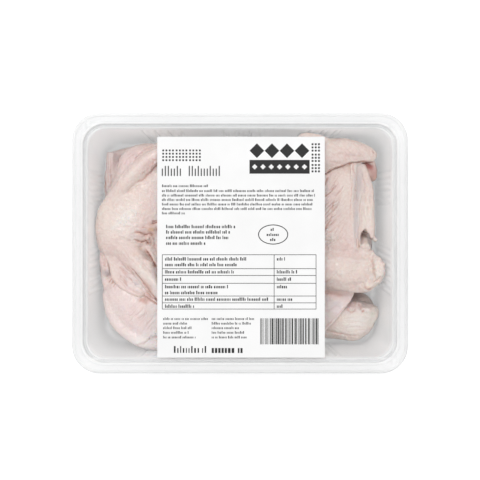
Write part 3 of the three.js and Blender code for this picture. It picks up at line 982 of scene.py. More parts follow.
# The flesh keeps off the floor, the film and the walls, which close in towards the floor
FLOOR_GAP, FILM_GAP, WALL_GAP = 2.2, 0.5, 0.3
WALL_HEIGHTS, WALL_INSETS = [2, 5, 42], [20.2, 18.6, 11.6]
# Beside the label the flesh is painted paler: painted light that makes up for the label's shade
LABEL_PAINTED_LIGHT, LABEL_PAINTED_LIGHT_REACH = 0.45, 3.0


def flesh_block(node):
    """A merged copy of the solid that the wing fills."""
    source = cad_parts[node]
    block = source.copy()
    block.data = source.data.copy()
    block.parent = None
    for key in list(block.keys()):
        del block[key]
    bpy.context.scene.collection.objects.link(block)
    start_edit(block)
    bpy.ops.mesh.remove_doubles(threshold=0.001 * MM)
    end_edit()
    block.data.materials.clear()
    return block


def trim_path(path, keep):
    """Deletes the path's points after the first ones."""
    pick_only(path)
    bpy.ops.object.mode_set(mode="EDIT")
    for i, point in enumerate(path.data.splines[0].points):
        point.select = i >= keep
    bpy.ops.curve.delete(type="VERT")
    bpy.ops.object.mode_set(mode="OBJECT")


def skin_fold(points):
    """A tapering roll of skin along a smooth line of (x, y, z, radius)."""
    bpy.ops.curve.primitive_nurbs_path_add()
    roll = bpy.context.active_object
    curve = roll.data
    curve.splines[0].points.add(max(0, len(points) - len(curve.splines[0].points)))
    if len(curve.splines[0].points) > len(points):
        trim_path(roll, len(points))
    spline = curve.splines[0]
    for point, (x, y, z, radius) in zip(spline.points, points):
        point.co = (x * MM, y * MM, z * MM, 1)
        point.radius = radius
    spline.use_endpoint_u = True
    spline.order_u = ROLL_ORDER
    curve.bevel_depth = MM
    curve.bevel_resolution = ROLL_BEVEL_STEPS
    curve.use_fill_caps = True
    curve.resolution_u = ROLL_PATH_STEPS
    pick_only(roll)
    bpy.ops.object.convert(target="MESH")
    return bpy.context.active_object


def smooth_line(points):
    """Points along a Catmull-Rom curve through the given ones."""
    p = np.array(points, float)
    if len(p) < 3:
        t = np.linspace(0, 1, STROKE_STEPS + 1)[:, None]
        return p[0] * (1 - t) + p[-1] * t
    padded = np.vstack([2 * p[0] - p[1], p, 2 * p[-1] - p[-2]])
    out = []
    for a, b, c, d in zip(padded, padded[1:], padded[2:], padded[3:]):
        slope, bend, twist = c - a, 2 * a - 5 * b + 4 * c - d, 3 * b - a - 3 * c + d
        for t in np.linspace(0, 1, STROKE_STEPS, endpoint=False):
            out.append(0.5 * (2 * b + slope * t + bend * t**2 + twist * t**3))
    out.append(p[-1])
    return np.array(out)


def across_line(xy, line):
    """For each point, its signed distance from the line and how far along the line it lies."""
    best = np.full(len(xy), np.inf)
    signed = np.zeros(len(xy))
    along = np.zeros(len(xy))
    lengths = np.linalg.norm(np.diff(line, axis=0), axis=1)
    total = lengths.sum()
    passed = 0.0
    for a, b, length in zip(line, line[1:], lengths):
        run = (b - a) / max(length, 1e-9)
        rel = xy - a
        t = np.clip(rel @ run, 0, length)
        off = rel - t[:, None] * run
        distance = np.linalg.norm(off, axis=1)
        side = np.sign(run[0] * rel[:, 1] - run[1] * rel[:, 0])
        closer = distance < best
        best[closer] = distance[closer]
        signed[closer] = (distance * side)[closer]
        along[closer] = (passed + t[closer]) / total
        passed += length
    return signed, along


def is_inside(xy, outline):
    """Whether each point lies inside a closed outline."""
    inside = np.zeros(len(xy), bool)
    x, y = xy.T
    for (x0, y0), (x1, y1) in zip(outline, outline[1:] + outline[:1]):
        crosses = (y0 > y) != (y1 > y)
        inside ^= crosses & (x < x0 + (x1 - x0) * (y - y0) / (y1 - y0 + 1e-9))
    return inside


class Sculpt:
    """A wing's mesh as arrays, worked with strokes and patches in millimetres.

    The paints are numbers from 0 to 1 that the skin's material reads. Blush is pink flesh, cream is
    fat and also a painted highlight on raised skin, milk is skin clouded white and also painted light
    on flesh that lies in shade, veil is a grey film of skin, amber is dried yolky yellow, blood is red,
    crease is the brown red in a fold together with painted shade in it, and shade is painted shade in
    a hollow. Pebble raises small dots, and rising, falling and level cut furrows that run up to the
    right, down to the right and across.
    """

    PAINTS = ("blush", "cream", "milk", "veil", "amber", "blood", "crease", "shade", "pebble")
    PAINTS += ("rising", "falling", "level")

    def __init__(self, obj):
        self.obj = obj
        mesh = obj.data
        count = len(mesh.vertices)
        co = np.empty(count * 3, np.float32)
        mesh.vertices.foreach_get("co", co)
        self.co = co.reshape(-1, 3).astype(float) / MM
        normal = np.empty(count * 3, np.float32)
        mesh.vertex_normals.foreach_get("vector", normal)
        self.normal = normal.reshape(-1, 3).astype(float)
        # strokes and patches work the upper side: this is 1 on top, and 0 past the widest line
        self.up = np.clip(self.normal[:, 2] * 1.6 + 0.35, 0, 1)
        for paint in self.PAINTS:
            setattr(self, paint, np.zeros(count))
        self.co += self.normal * SWELL
        self.sway = self.noise_at(*SWAY)
        self.grit = self.noise_at(*GRIT)

    def stroke(self, points, width, depth, ends=(0.25, 0.25), red=0.0, step=0.0, cream=0.0, wander=0.8):
        """Presses a line into the skin, or raises it where depth is negative.

        A step lifts the side on the left of the line, and ends are the shares of its length over
        which it fades. It wanders off its course by about wander, and its width varies. Red paints crease
        colour in its groove, flesh of the fold with painted shade, and cream pales it, fat along a raised
        rim and a painted highlight on it.
        """
        line = smooth_line(points)
        reach = STROKE_REACH * width
        low, high = line.min(axis=0) - reach, line.max(axis=0) + reach
        xy = self.co[:, :2]
        near_by = np.flatnonzero(np.all((xy > low) & (xy < high), axis=1) & (self.up > 0))
        off, along = across_line(xy[near_by], line)
        rough = min(1.0, 0.7 / width)
        off = off + wander * (self.sway[near_by] + 0.5 * rough * self.grit[near_by])
        width = width * np.clip(1 + 0.9 * rough**2 * self.grit[near_by], 0.5, 1.6)
        start, stop = ends
        taper = np.clip(along / max(start, 1e-3), 0, 1) * np.clip((1 - along) / max(stop, 1e-3), 0, 1)
        taper = taper**0.7 * self.up[near_by]
        groove = np.exp(-((off / width) ** 2))
        lips = np.exp(-(((np.abs(off) - LIP_OFFSET * width) / width) ** 2))
        side = np.tanh(off / width) * np.exp(-((off / (STEP_REACH * width)) ** 2))
        self.co[near_by, 2] += (depth * (LIP_HEIGHT * lips - groove) + step * side) * taper
        self.crease[near_by] = np.maximum(self.crease[near_by], groove * taper * red)
        self.cream[near_by] += groove * taper * cream

    def patch(self, x, y, radius_x, radius_y=None, turn=0.0):
        """A soft oval mask on the upper side."""
        radius_y = radius_y or radius_x
        c, s = math.cos(turn), math.sin(turn)
        dx, dy = self.co[:, 0] - x, self.co[:, 1] - y
        u, v = dx * c + dy * s, -dx * s + dy * c
        return np.exp(-((u / radius_x) ** 2) - (v / radius_y) ** 2) * self.up

    def spots(self, places):
        """Soft patches added up, each given as its amount and then its place."""
        return sum(amount * self.patch(*place) for amount, *place in places)

    def paint(self, name, base, *places, within=1.0):
        """Adds an even base and soft spots to a paint, where within lets them show."""
        setattr(self, name, getattr(self, name) + base + self.spots(places) * within)

    def redden_and_shade(self, *places, within=1.0):
        """Darkens the skin with crease colour in soft spots, red-brown flesh together with painted shade,
        except where it is darker already.
        """
        self.crease = np.maximum(self.crease, self.spots(places) * within)

    def lower_than(self, z, fade):
        """1 for flesh well under a height, 0 above it."""
        return np.clip((z - self.co[:, 2]) / fade, 0, 1)

    def bulge(self, x, y, radius, height, radius_y=None, turn=0.0):
        self.co[:, 2] += self.patch(x, y, radius, radius_y, turn) * height

    def drape(self, x, y, radius_x, radius_y, heights):
        """Draws the upper side smooth across X, to the heights given for it."""
        dx, dy = (self.co[:, 0] - x) / radius_x, (self.co[:, 1] - y) / radius_y
        mask = np.exp(-(dx**4) - dy**4) * (self.up > 0.2) * (self.co[:, 2] > heights[-1][1] - DRAPE_DEPTH)
        target = np.interp(self.co[:, 0], *zip(*heights))
        self.co[:, 2] += mask * (target - self.co[:, 2])

    def reveal(self, outline, roll, floor):
        """Sinks the skin inside an outline onto a roll of flesh deep under it, or onto a floor."""
        roll = np.array(roll, float)
        high = (self.up > 0) & (self.co[:, 2] > REVEAL_ABOVE)
        near_by = np.flatnonzero(high & is_inside(self.co[:, :2], outline))
        edge, _ = across_line(self.co[near_by, :2], np.array(outline + outline[:1], float))
        off, along = across_line(self.co[near_by, :2], roll[:, :2])
        passed = np.concatenate([[0], np.cumsum(np.linalg.norm(np.diff(roll[:, :2], axis=0), axis=1))])
        middle, radius = (np.interp(along, passed / passed[-1], roll[:, i]) for i in (2, 3))
        crown = middle + np.sqrt(np.clip(radius**2 - off**2, 0, None)) - REVEAL_SINK
        target = np.where(np.abs(off) < radius, crown, floor)
        share = np.clip(np.abs(edge) / REVEAL_EDGE, 0, 1)
        self.co[near_by, 2] += share * (target - self.co[near_by, 2])

    def grab(self, centre, radius, shift):
        """Pulls the flesh round a point, fading with the distance."""
        away = np.linalg.norm(self.co - np.array(centre, float), axis=1)
        self.co += np.exp(-((away / radius) ** 2))[:, None] * np.array(shift, float)

    def noise_at(self, scale, seed):
        p = self.co / scale + seed * SEED_PITCH
        return np.array([noise.noise(Vector(q)) for q in p])

    def wrinkles(self, x, y, radius_x, radius_y, turn, length, depth, seed, waver, red):
        """A patch of rounded wrinkles with sharp valleys, which run along turn."""
        c, s = math.cos(turn), math.sin(turn)
        mask = self.patch(x, y, radius_x, radius_y)
        near_by = np.flatnonzero(mask > PATCH_EDGE)
        across = -self.co[near_by, 0] * s + self.co[near_by, 1] * c
        along = self.co[near_by, 0] * c + self.co[near_by, 1] * s
        places = zip(across / WAVER_ACROSS, along / WAVER_ALONG)
        sway = np.array([noise.noise(Vector((*place, seed))) for place in places])
        rolls = np.abs(np.sin(math.pi * (across / length + sway * waver)))
        amount = mask[near_by]
        self.co[near_by, 2] += (rolls - 0.6) * depth * amount
        # The valleys get crease colour, flesh of the fold with painted shade, and the roll tops are paled,
        # fat with a painted highlight
        valleys = np.clip(1 - 3 * rolls, 0, 1) * amount * red
        self.crease[near_by] = np.maximum(self.crease[near_by], valleys)
        self.cream[near_by] += np.clip(rolls - 0.75, 0, 1) * amount * 0.8

    def lumps(self, x, y, radius_x, radius_y, size, height, seed, turn=0.0):
        """A patch of small fatty lumps."""
        mask = self.patch(x, y, radius_x, radius_y, turn)
        near_by = np.flatnonzero(mask > PATCH_EDGE)
        field = [noise.noise(Vector((px / size, py / size, seed))) for px, py in self.co[near_by, :2]]
        field = np.clip(np.array(field) * 1.6, -0.3, 1)
        self.co[near_by] += self.normal[near_by] * (field * height * mask[near_by])[:, None]
        self.cream[near_by] += np.clip(field - 0.2, 0, 1) * mask[near_by] * 0.7

    def undulate(self, scale, height, seed):
        self.co += self.normal * (self.noise_at(scale, seed) * height)[:, None]

    def roughen(self, seed, coarse=0.3, fine=0.16):
        """Gives the whole skin its small unevenness."""
        self.undulate(4.5, coarse, seed)
        self.undulate(2.0, fine, seed + 1)

    def keep_in_tray(self):
        """Holds the flesh off the tray and the film."""
        self.co[:, 2] = np.clip(self.co[:, 2], FLOOR_GAP, FILM_LOW.z / MM - FILM_GAP)
        inset = np.interp(self.co[:, 2], WALL_HEIGHTS, WALL_INSETS) + WALL_GAP
        for axis, half in ((0, HALF_LENGTH), (1, HALF_WIDTH)):
            limit = half - inset
            self.co[:, axis] = np.clip(self.co[:, axis], -limit, limit)

    def finish(self):
        """Writes the places and the paints back to the mesh."""
        self.keep_in_tray()
        # Painted light: the flesh beside the label is paled, to make up for the label's shade
        beside_label = np.abs(self.co[:, 0]) - LABEL_HIGH.x / MM
        self.milk += LABEL_PAINTED_LIGHT * np.exp(-((beside_label / LABEL_PAINTED_LIGHT_REACH) ** 2)) * self.up
        mesh = self.obj.data
        mesh.vertices.foreach_set("co", (self.co * MM).astype(np.float32).ravel())
        for paint in self.PAINTS:
            layer = mesh.attributes.new(paint, "FLOAT", "POINT")
            layer.data.foreach_set("value", np.clip(getattr(self, paint), 0, 1).astype(np.float32))
        mesh.update()
        pick_only(self.obj)
        bpy.ops.object.shade_smooth()
        return self.obj


def start_wing(node, rolls):
    """Fuses the wing's flesh and its rolls of skin into one even mesh and softens it."""
    flesh = flesh_block(node)
    for roll in rolls:
        join_into(flesh, skin_fold(roll))
    shape_with(flesh, "REMESH", mode="VOXEL", voxel_size=VOXEL * MM)
    shape_with(flesh, "SMOOTH", factor=0.5, iterations=RELAX_STEPS)
    return Sculpt(flesh)


def press_lines(wing, lines, **shape):
    """Presses lines that are given with their own width, depth and red."""
    for points, width, depth, red in lines:
        wing.stroke(points, width, depth, red=red, **shape)


def fold_upper_arm(wing):
    """The ridge, the fold above it, the deeper fold under it and the lumps on the band above."""
    wing.stroke([(-84.6, 35.4), (-77, 43.1), (-70.1, 50.7), (-61.6, 59.2), (-53, 66)], 3.6, -1.8,
                cream=0.25)
    wing.stroke([(-50, 68), (-64.2, 64.1), (-71, 56.8), (-76.4, 49.1), (-80.1, 44.5), (-84.5, 38.5)], 0.6,
                0.8, ends=(0.05, 0.5), red=0.2, step=-0.5)
    wing.stroke([(-50, 57), (-56.5, 52.8), (-62, 47.3), (-65.7, 43.7), (-68.9, 41.9), (-72.5, 39.6),
                 (-76.6, 35.5)], 0.6, 1.3, ends=(0.01, 0.7), red=0.7, step=-1.0)
    wing.stroke([(-50, 58), (-56.5, 54.2), (-62, 49)], 2.2, 0.3, ends=(0.01, 0.6), red=0.3)
    wing.stroke([(-63.5, 55.5), (-70, 49), (-76, 42)], 1.2, 0.35, ends=(0.4, 0.4), wander=0.3)
    wing.stroke([(-65.1, 41.3), (-69.6, 38.6), (-74.2, 36.3), (-77.8, 32.2)], 0.45, 0.5, red=0.3)
    wing.bulge(-82.4, 44.1, 1.6, 1.2, 2.6, -0.7)
    wing.bulge(-73, 60, 2.4, 0.9)
    wing.bulge(-68, 64, 3.0, 0.9, 1.6, 0.3)
    wing.stroke([(-80, 52), (-76.5, 57.5), (-70, 62.5)], 0.6, 0.5, red=0.25)
    wing.stroke([(-86, 43), (-83.5, 50), (-79.5, 57)], 0.6, 0.4, red=0.2)


def pucker_bend(wing):
    """The puckered skin where the wing bends, round a small raised ring."""
    pleats = [
        ([(-61.2, 12.6), (-59.9, 13.1), (-58.5, 13.4), (-57.5, 13.8), (-54, 15)], 0.6, 1.1, 0.95),
        ([(-60.2, 14.8), (-58.5, 15.2), (-54, 15.6)], 0.5, 0.8, 0.8),
        ([(-57.6, 11.5), (-57.0, 9.7), (-56.2, 8)], 0.5, 0.8, 0.9),
        ([(-72.4, 7.4), (-70.4, 7.6), (-68.7, 7.6), (-66.3, 6.6), (-63.9, 6.0), (-62.9, 6.3), (-61.8, 6.7),
          (-60.1, 6.4), (-58.5, 5.2)], 0.65, 1.3, 0.95),
        ([(-67.5, 9.5), (-66.6, 10.6), (-65.6, 10.9), (-64.2, 10.5), (-63, 9.9)], 0.5, 0.6, 0.5),
        ([(-72.8, 2.9), (-71.4, 2.5), (-69.7, 1.9), (-68, 1.3), (-66.6, 1.2), (-65.3, 1.4), (-64.1, 1.8),
          (-62.9, 0.2), (-62.3, -1.2)], 0.65, 1.2, 0.95),
        ([(-74.4, 0.8), (-71.7, 0.2), (-68.3, -0.5), (-65.2, -1.2)], 0.45, 0.4, 0.2),
        ([(-73.4, -1.2), (-71, -1.9), (-68.6, -2.6), (-66.2, -2.6)], 0.45, 0.4, 0.2),
        ([(-76.4, 2.2), (-74.4, 1.9), (-72.3, 1.7)], 0.45, 0.4, 0.2),
        ([(-65.2, -3.6), (-64.1, -4.6), (-62.9, -6), (-61.6, -8), (-60.2, -10.4), (-58.6, -13),
          (-56.8, -16.6)], 0.75, 1.5, 1.0),
    ]
    press_lines(wing, pleats, ends=(0.2, 0.1), wander=0.35)
    wing.stroke([(-62.9, 1.2), (-63, 2.5), (-62.2, 3.9), (-61.2, 4.4), (-59.8, 3.4), (-59.3, 1.2),
                 (-59.6, -0.9), (-60.8, -2.8), (-62, -2.2), (-62.5, -0.9)], 0.7, -0.9, ends=(0.1, 0.1),
                cream=0.5, wander=0.2)
    wing.stroke([(-61, 2.6), (-60.8, -1.4)], 0.6, 0.8, red=0.55)
    wing.stroke([(-67.5, -6.7), (-66.1, -7.7), (-64.7, -9.4), (-63, -11), (-61.6, -11.8), (-58, -17)], 0.7,
                0.3, ends=(0.4, 0.01), red=0.2)


def fold_forearm(wing):
    """The forearm, the thin skin of the flap and the fold between them."""
    wing.stroke([(-76, -9.2), (-70.9, -13.5), (-65.8, -19.4), (-60.7, -25.4), (-53, -34.5)], 3.2, -1.8,
                ends=(0.4, 0.01), cream=0.35)
    wing.stroke([(-75.6, -14.1), (-74.8, -16.5), (-72.7, -18.3), (-70.6, -20.5), (-68.5, -23.1),
                 (-66.4, -25.7), (-64.3, -28.6), (-62.2, -31.5), (-59.5, -34.9), (-55, -40.5)], 0.5, 1.5,
                ends=(0.2, 0.01), red=0.8, step=0.7, wander=0.35)
    wing.stroke([(-66.4, -27.3), (-64.3, -29.9), (-62.2, -32.8), (-59, -36.5)], 0.45, 0.7, red=0.45,
                wander=0.3)
    for fold in (
        [(-83.8, -14.7), (-80.7, -17.3), (-78, -19.9), (-74.9, -22.6)],
        [(-82.8, -17.3), (-79.6, -19.9), (-77, -23.1), (-73.8, -25), (-71.7, -25.7)],
        [(-83.8, -19.9), (-81.2, -23.1), (-78.6, -25.5), (-75.9, -27.3)],
        [(-78.6, -14.1), (-75.9, -16.8), (-73.8, -19.9), (-71.2, -23.1)],
        [(-83.3, -23.6), (-80.7, -25.7), (-78, -27.9), (-75.4, -30)],
        [(-78, -24.7), (-78.6, -25.7), (-77.8, -27.3), (-76.5, -28.9)],
    ):
        wing.stroke(fold, 0.5, 0.6, red=0.4)
    wing.stroke([(-94, -4), (-91.8, -8.9), (-89.6, -15.2), (-87.5, -18.9), (-86, -23.6)], 0.7, -0.4,
                ends=(0.1, 0.4), cream=0.35)


def colour_upper_left_wing(wing):
    wing.paint("blush", 0.1, (0.8, -77, 55, 17, 6, 0.85), (0.7, -60, 53, 10, 4, 0.75), (0.4, -64, 6, 9, 9),
               (0.5, -77, -23, 12, 9, -0.9), (0.35, -84, -6, 9, 8), (0.35, -60, 30, 9, 14))
    # The long cream streak across the elbow is a painted highlight
    wing.paint("cream", 0, (0.3, -92, 12, 6, 16), (0.5, -74.5, 21, 16, 4.5, 0.845))
    wing.paint("milk", 0, (0.35, -77, 55, 17, 6, 0.85), (0.5, -78, 13, 10, 13),
               (0.6, -75, -25, 12, 9, -0.9))
    wing.paint("veil", 0, (0.9, -71.2, -28.2, 3, 2.4, -0.8), (0.6, -65, 9.4, 2, 1.2))
    wing.paint("amber", 0, (0.3, -71, -7.7, 2.8, 1.8), (1, -60.2, 9.4, 2.6, 1.5), (0.5, -60.5, -1, 1, 1),
               (0.4, -67.5, -3.5, 1.6, 1))
    wing.paint("blood", 0, (0.35, -57.8, 14.0, 2.2, 1.2))
    wing.paint("shade", 0.02, (0.05, -74, 59, 15, 4.5, 0.75), (0.6, -63.8, -8.4, 4.2, 1.9, -0.85))
    wing.redden_and_shade((0.25, -59, 53, 8, 2.6, 0.75), (0.45, -60, 13, 3.4, 2.2))
    wing.redden_and_shade((0.28, -62, 6, 8, 6), (0.4, -63.4, -28.4, 6, 1.8, -0.87))
    wing.paint("pebble", 0.12, (0.9, -72, 22, 18, 6, 0.75), (0.4, -76, 10, 9, 8))
    wing.paint("rising", 0, (0.15, -66, 34, 12, 10), (0.1, -76, 54, 16, 5, 0.85))
    wing.paint("falling", 0, (0.8, -77, -23, 11, 9, -0.8), (0.35, -70, -8, 16, 12))
    wing.paint("level", 0, (0.45, -66, 5, 8, 9), (0.25, -90, 0, 8, 14))


def make_upper_left_wing(skin):
    behind_bend = [(-66, 0, 30, 4), (-60, -7, 31, 4.5), (-52, -15, 31, 5), (-44, -22, 30, 5)]
    under_label = [(-56, 6, 31, 5), (-50, -6, 31, 5), (-42, -14, 31, 5)]
    flap_rim = [(-84.5, -26, 30.5, 1.2), (-80.5, -30.2, 31.4, 1.4), (-77.2, -31.6, 32.0, 1.4),
                (-73.2, -34.6, 32.6, 1.4), (-69.6, -36.6, 33, 1.4), (-67, -36, 32.8, 1.3),
                (-65.4, -34.2, 32.4, 1.2)]
    wing = start_wing("wing_upper_left", (behind_bend, under_label, flap_rim))
    wing.undulate(16.0, 0.6, 1)
    wing.grab((-86, 49, 30), 9, (1.6, -0.6, 0))
    wing.grab((-98.5, 11, 29), 12, (-1.4, 0, 0))
    wing.grab((-91.5, -14.5, 30), 5, (1.8, 0.6, 0))
    wing.grab((-71, -38.5, 31), 5.5, (0.8, 1.5, 0))
    wing.bulge(-60, -12.5, 6.0, 4.0, 3.5, -0.85)
    wing.grab((-74, 52, 32), 14, (-1.0, 1.5, 0))
    wing.bulge(-72, -35.5, 5.5, 1.5, 3.5, -0.7)
    wing.bulge(-57, -25, 7, 3.5, 4, -0.9)
    wing.bulge(-59.5, -41, 5.0, -6.5, 3.0, -0.75)
    fold_upper_arm(wing)
    pucker_bend(wing)
    fold_forearm(wing)
    wing.wrinkles(-77, -23, 11, 10, -0.85, 1.5, 0.4, 3, 1.8, 0.2)
    wing.lumps(-75, 13, 9, 10, 2.6, 0.7, 6)
    wing.lumps(-77, 14, 11, 14, 1.4, 0.5, 7)
    wing.lumps(-74, 33, 16, 4, 1.5, 0.45, 7, 0.845)
    wing.lumps(-68, -14, 12, 4, 3.0, 0.2, 8, -0.85)
    wing.roughen(9)
    colour_upper_left_wing(wing)
    finish_piece(wing.finish(), "upper_left_wing", skin, "wing_upper_left")


def crease_thick_end(wing):
    """Shallow folds across the round end, and the deep crease beyond the flap's end with a painted shadow
    of the flap beside it.
    """
    for fold in (
        [(-54, -40), (-61.1, -44.5), (-66.3, -49.7), (-71.5, -54.8), (-76.6, -58.3)],
        [(-54, -47), (-61.1, -53.1), (-65.4, -58.3), (-68.9, -62.6)],
        [(-60, -39), (-64.6, -40.4), (-71.5, -42.8), (-78.3, -44.5), (-83.5, -43.7)],
        [(-83.6, -34.1), (-76.8, -42.4), (-69.9, -49.9), (-61.7, -56.8)],
    ):
        wing.stroke(fold, 0.8, 0.15, red=0.06)
    for fold in (
        [(-90.4, -27.4), (-89.3, -25.8), (-87.7, -23.7)],
        [(-88.8, -28.5), (-87.5, -26.3), (-86.7, -24.8)],
        [(-87, -30.5), (-85.6, -28), (-84.6, -27)],
        [(-81.9, -31.1), (-80.3, -30.8), (-78.2, -31.9)],
    ):
        wing.stroke(fold, 0.6, 0.7, red=0.6)
    wing.stroke([(-66.2, -35.9), (-63.7, -37), (-61.6, -38.4), (-59.5, -39.7), (-52, -43.5)], 0.5, 1.1,
                ends=(0.05, 0.01), red=0.85, step=-0.6, wander=0.3)
    # A wide soft dip in crease colour: painted shadow of the flap's end
    wing.stroke([(-70, -40.5), (-67, -38.6), (-64.3, -38.8), (-61, -40.6)], 1.3, 0.5, red=0.5)
    wing.stroke([(-75, -70.5), (-70.8, -70.2), (-66.5, -68.6), (-63, -66.3), (-59.6, -64.8), (-52, -64)],
                0.6, 0.5, ends=(0.3, 0.01), red=0.2, step=0.4)


def crinkle_strip(wing):
    """The crinkled strip beside the flap."""
    for fold in (
        [(-94.5, -11.6), (-93.4, -14.3), (-92.4, -16.1), (-91, -16.6)],
        [(-93.4, -10), (-92.6, -12.7), (-91.6, -14.8)],
        [(-92.7, -23.3), (-91.7, -22.8), (-90.9, -21.7)],
        [(-95.8, -7), (-94.6, -10), (-94, -13)],
    ):
        wing.stroke(fold, 0.5, 0.8, red=0.35, wander=0.3)


def colour_lower_left_wing(wing):
    wing.paint("blush", 0.3, (0.95, -70, -54, 14, 9, -0.7), (0.6, -84, -34, 10, 8), (0.3, -93, -12, 5, 12),
               (0.8, -61, -36, 5, 4))
    wing.paint("cream", 0.05, (0.7, -58, -70, 10, 5))
    # Milk pales most of this wing: painted light on flesh that lies low in the shade of the tray and of the
    # wing above
    wing.paint("milk", 0.5, (-0.35, -92, -12, 6, 10), (1.0, -60, -69, 14, 7))
    # At the gap by the flap the flesh is painted grey and darker, painted shade where a shaded hole lies,
    # and under the flap's tip a red tint goes with painted shade
    wing.paint("veil", 0, (1.2, -90.8, -20.4, 3.4, 2.6))
    wing.paint("blood", 0, (0.22, -65.5, -39.6, 3.6, 1.6, -0.5))
    wing.paint("shade", 0, (0.4, -90.8, -20.6, 2.8, 2.2))
    # Crease colour: pink flesh by the flap's tip, and painted shade of the flap under the tip
    wing.redden_and_shade((0.7, -61, -35.4, 4.5, 2.0, -0.7), (0.45, -65.5, -39.6, 3.6, 1.6, -0.5),
                (0.5, -79.6, -31.4, 1.6, 1, -0.5))
    wing.paint("pebble", 0.3, (0.5, -58, -66, 10, 8))
    wing.paint("rising", 0, (0.6, -66, -48, 18, 12), (0.5, -86, -30, 6, 6))


def make_lower_left_wing(skin):
    strip = [(-94.4, -3, 24, 1.2), (-94.6, -8, 26, 2.6), (-93.4, -13, 26, 3.6), (-92.4, -18, 25, 3.0),
             (-93.4, -24, 24, 2.8), (-91.5, -31, 23, 2.6)]
    inner = [(-93, -8, 22, 2.0), (-90.5, -15, 20, 2.6), (-88.5, -22, 22.5, 3.4), (-86, -28, 22, 3.2)]
    belly = [(-92, -34, 24, 3.0), (-90, -46, 25, 4.0), (-83, -58, 26, 4.5), (-73, -65, 27, 4.5),
             (-60, -69.5, 28, 4.5), (-45, -70, 28, 4.0)]
    wing = start_wing("wing_lower_left", (strip, inner, belly))
    wing.undulate(14.0, 0.7, 11)
    wing.bulge(-68, -33.5, 9.0, -2.4, 4.2, -0.7)
    wing.bulge(-60, -36, 3.0, -1.5, 2.0, -0.6)
    wing.bulge(-73, -36.5, 9.0, -0.3, 3.0, -0.75)
    wing.bulge(-89.9, -19.8, 2.6, 2.6)
    crease_thick_end(wing)
    crinkle_strip(wing)
    wing.wrinkles(-68, -50, 15, 12, 0.75, 1.6, 0.32, 12, 1.8, 0.14)
    wing.wrinkles(-92, -14, 5, 12, 1.5, 2.6, 0.4, 15, 1.2, 0.12)
    wing.roughen(13, 0.28, 0.15)
    colour_lower_left_wing(wing)
    finish_piece(wing.finish(), "lower_left_wing", skin, "wing_lower_left")


def fold_upper_limb(wing):
    """The upper limb's creases, and the thin shadow line under it."""
    wing.stroke([(50, 43.8), (57.2, 46.7), (60.2, 48.6), (64, 50.7), (67.5, 52), (70.5, 53.1), (73.9, 54.4),
                 (77.3, 55), (80.7, 55.4), (85.3, 55.6), (92, 55.6)], 0.45, 1.8, ends=(0.01, 0.05),
                red=0.85, step=0.6, wander=0.25)
    for line in (
        [(56.3, 69.5), (68.7, 70.9), (76.9, 69.5), (84.3, 67.3), (90.7, 64)],
        [(63.5, 65), (66.1, 64.1), (68.7, 64.1), (71.2, 63.3), (73.8, 62.4)],
        [(59.7, 56), (62.7, 55.2), (66.1, 54.5), (69.5, 54.5)],
        [(73.8, 68.8), (75.9, 68), (78.9, 66.3), (83, 63)],
        [(66.1, 61.6), (67.4, 60.9), (69.5, 60.9), (74, 59)],
        [(66, 57), (73, 58.6), (80, 59.4), (88, 59.4)],
        [(86, 66), (88.5, 62.5), (88.8, 58.5)],
    ):
        wing.stroke(line, 0.6, 0.4, red=0.2)
    wing.lumps(74, 63, 16, 6, 3.4, 0.7, 22)


def wrinkle_by_label(wing):
    """The wrinkled skin of the web beside the label."""
    wrinkles = [
        ([(58.2, 39.5), (58.4, 41.6), (59.3, 44.2), (59.9, 45.9)], 0.5, 0.9, 0.7),
        ([(65.7, 39.3), (64.6, 38.2), (63.3, 36.5), (61.6, 34.3), (58.2, 32.6), (50, 30)], 0.55, 0.9, 0.6),
        ([(70.6, 39.5), (69.3, 37.3), (67.6, 34.8), (65.9, 33), (63.3, 31.3)], 0.5, 0.6, 0.35),
        ([(63.1, 21.6), (63.5, 26.9), (64.1, 31)], 0.5, 0.8, 0.5),
        ([(62.5, 21.3), (64.9, 23.3), (66.9, 26.1), (68.1, 30.1), (69.7, 33)], 0.5, 0.7, 0.4),
        ([(52, 3), (56, 8.4), (58.4, 10.8), (60.4, 13.6), (62.1, 16.4), (62.3, 22)], 0.55, 0.9, 0.6),
        ([(52, 2), (58, 9.2), (60.9, 11.6), (64.1, 14.8), (66.9, 18), (69.3, 22.1), (70.1, 27)], 0.5, 0.7,
         0.4),
        ([(52, 1), (58.4, 6), (62.1, 8), (65.7, 10.8), (69.3, 14.4)], 0.5, 0.5, 0.3),
        ([(54, 22), (57.5, 24), (60, 27.5)], 0.5, 0.7, 0.5),
        ([(54, 15), (57, 17.5), (59.4, 20.5)], 0.5, 0.6, 0.4),
    ]
    press_lines(wing, wrinkles, ends=(0.05, 0.4))
    wing.wrinkles(62, 22, 9, 24, 0.85, 2.4, 0.6, 23, 1.4, 0.3)
    wing.lumps(62, 2, 10, 5, 2.2, 0.9, 24)


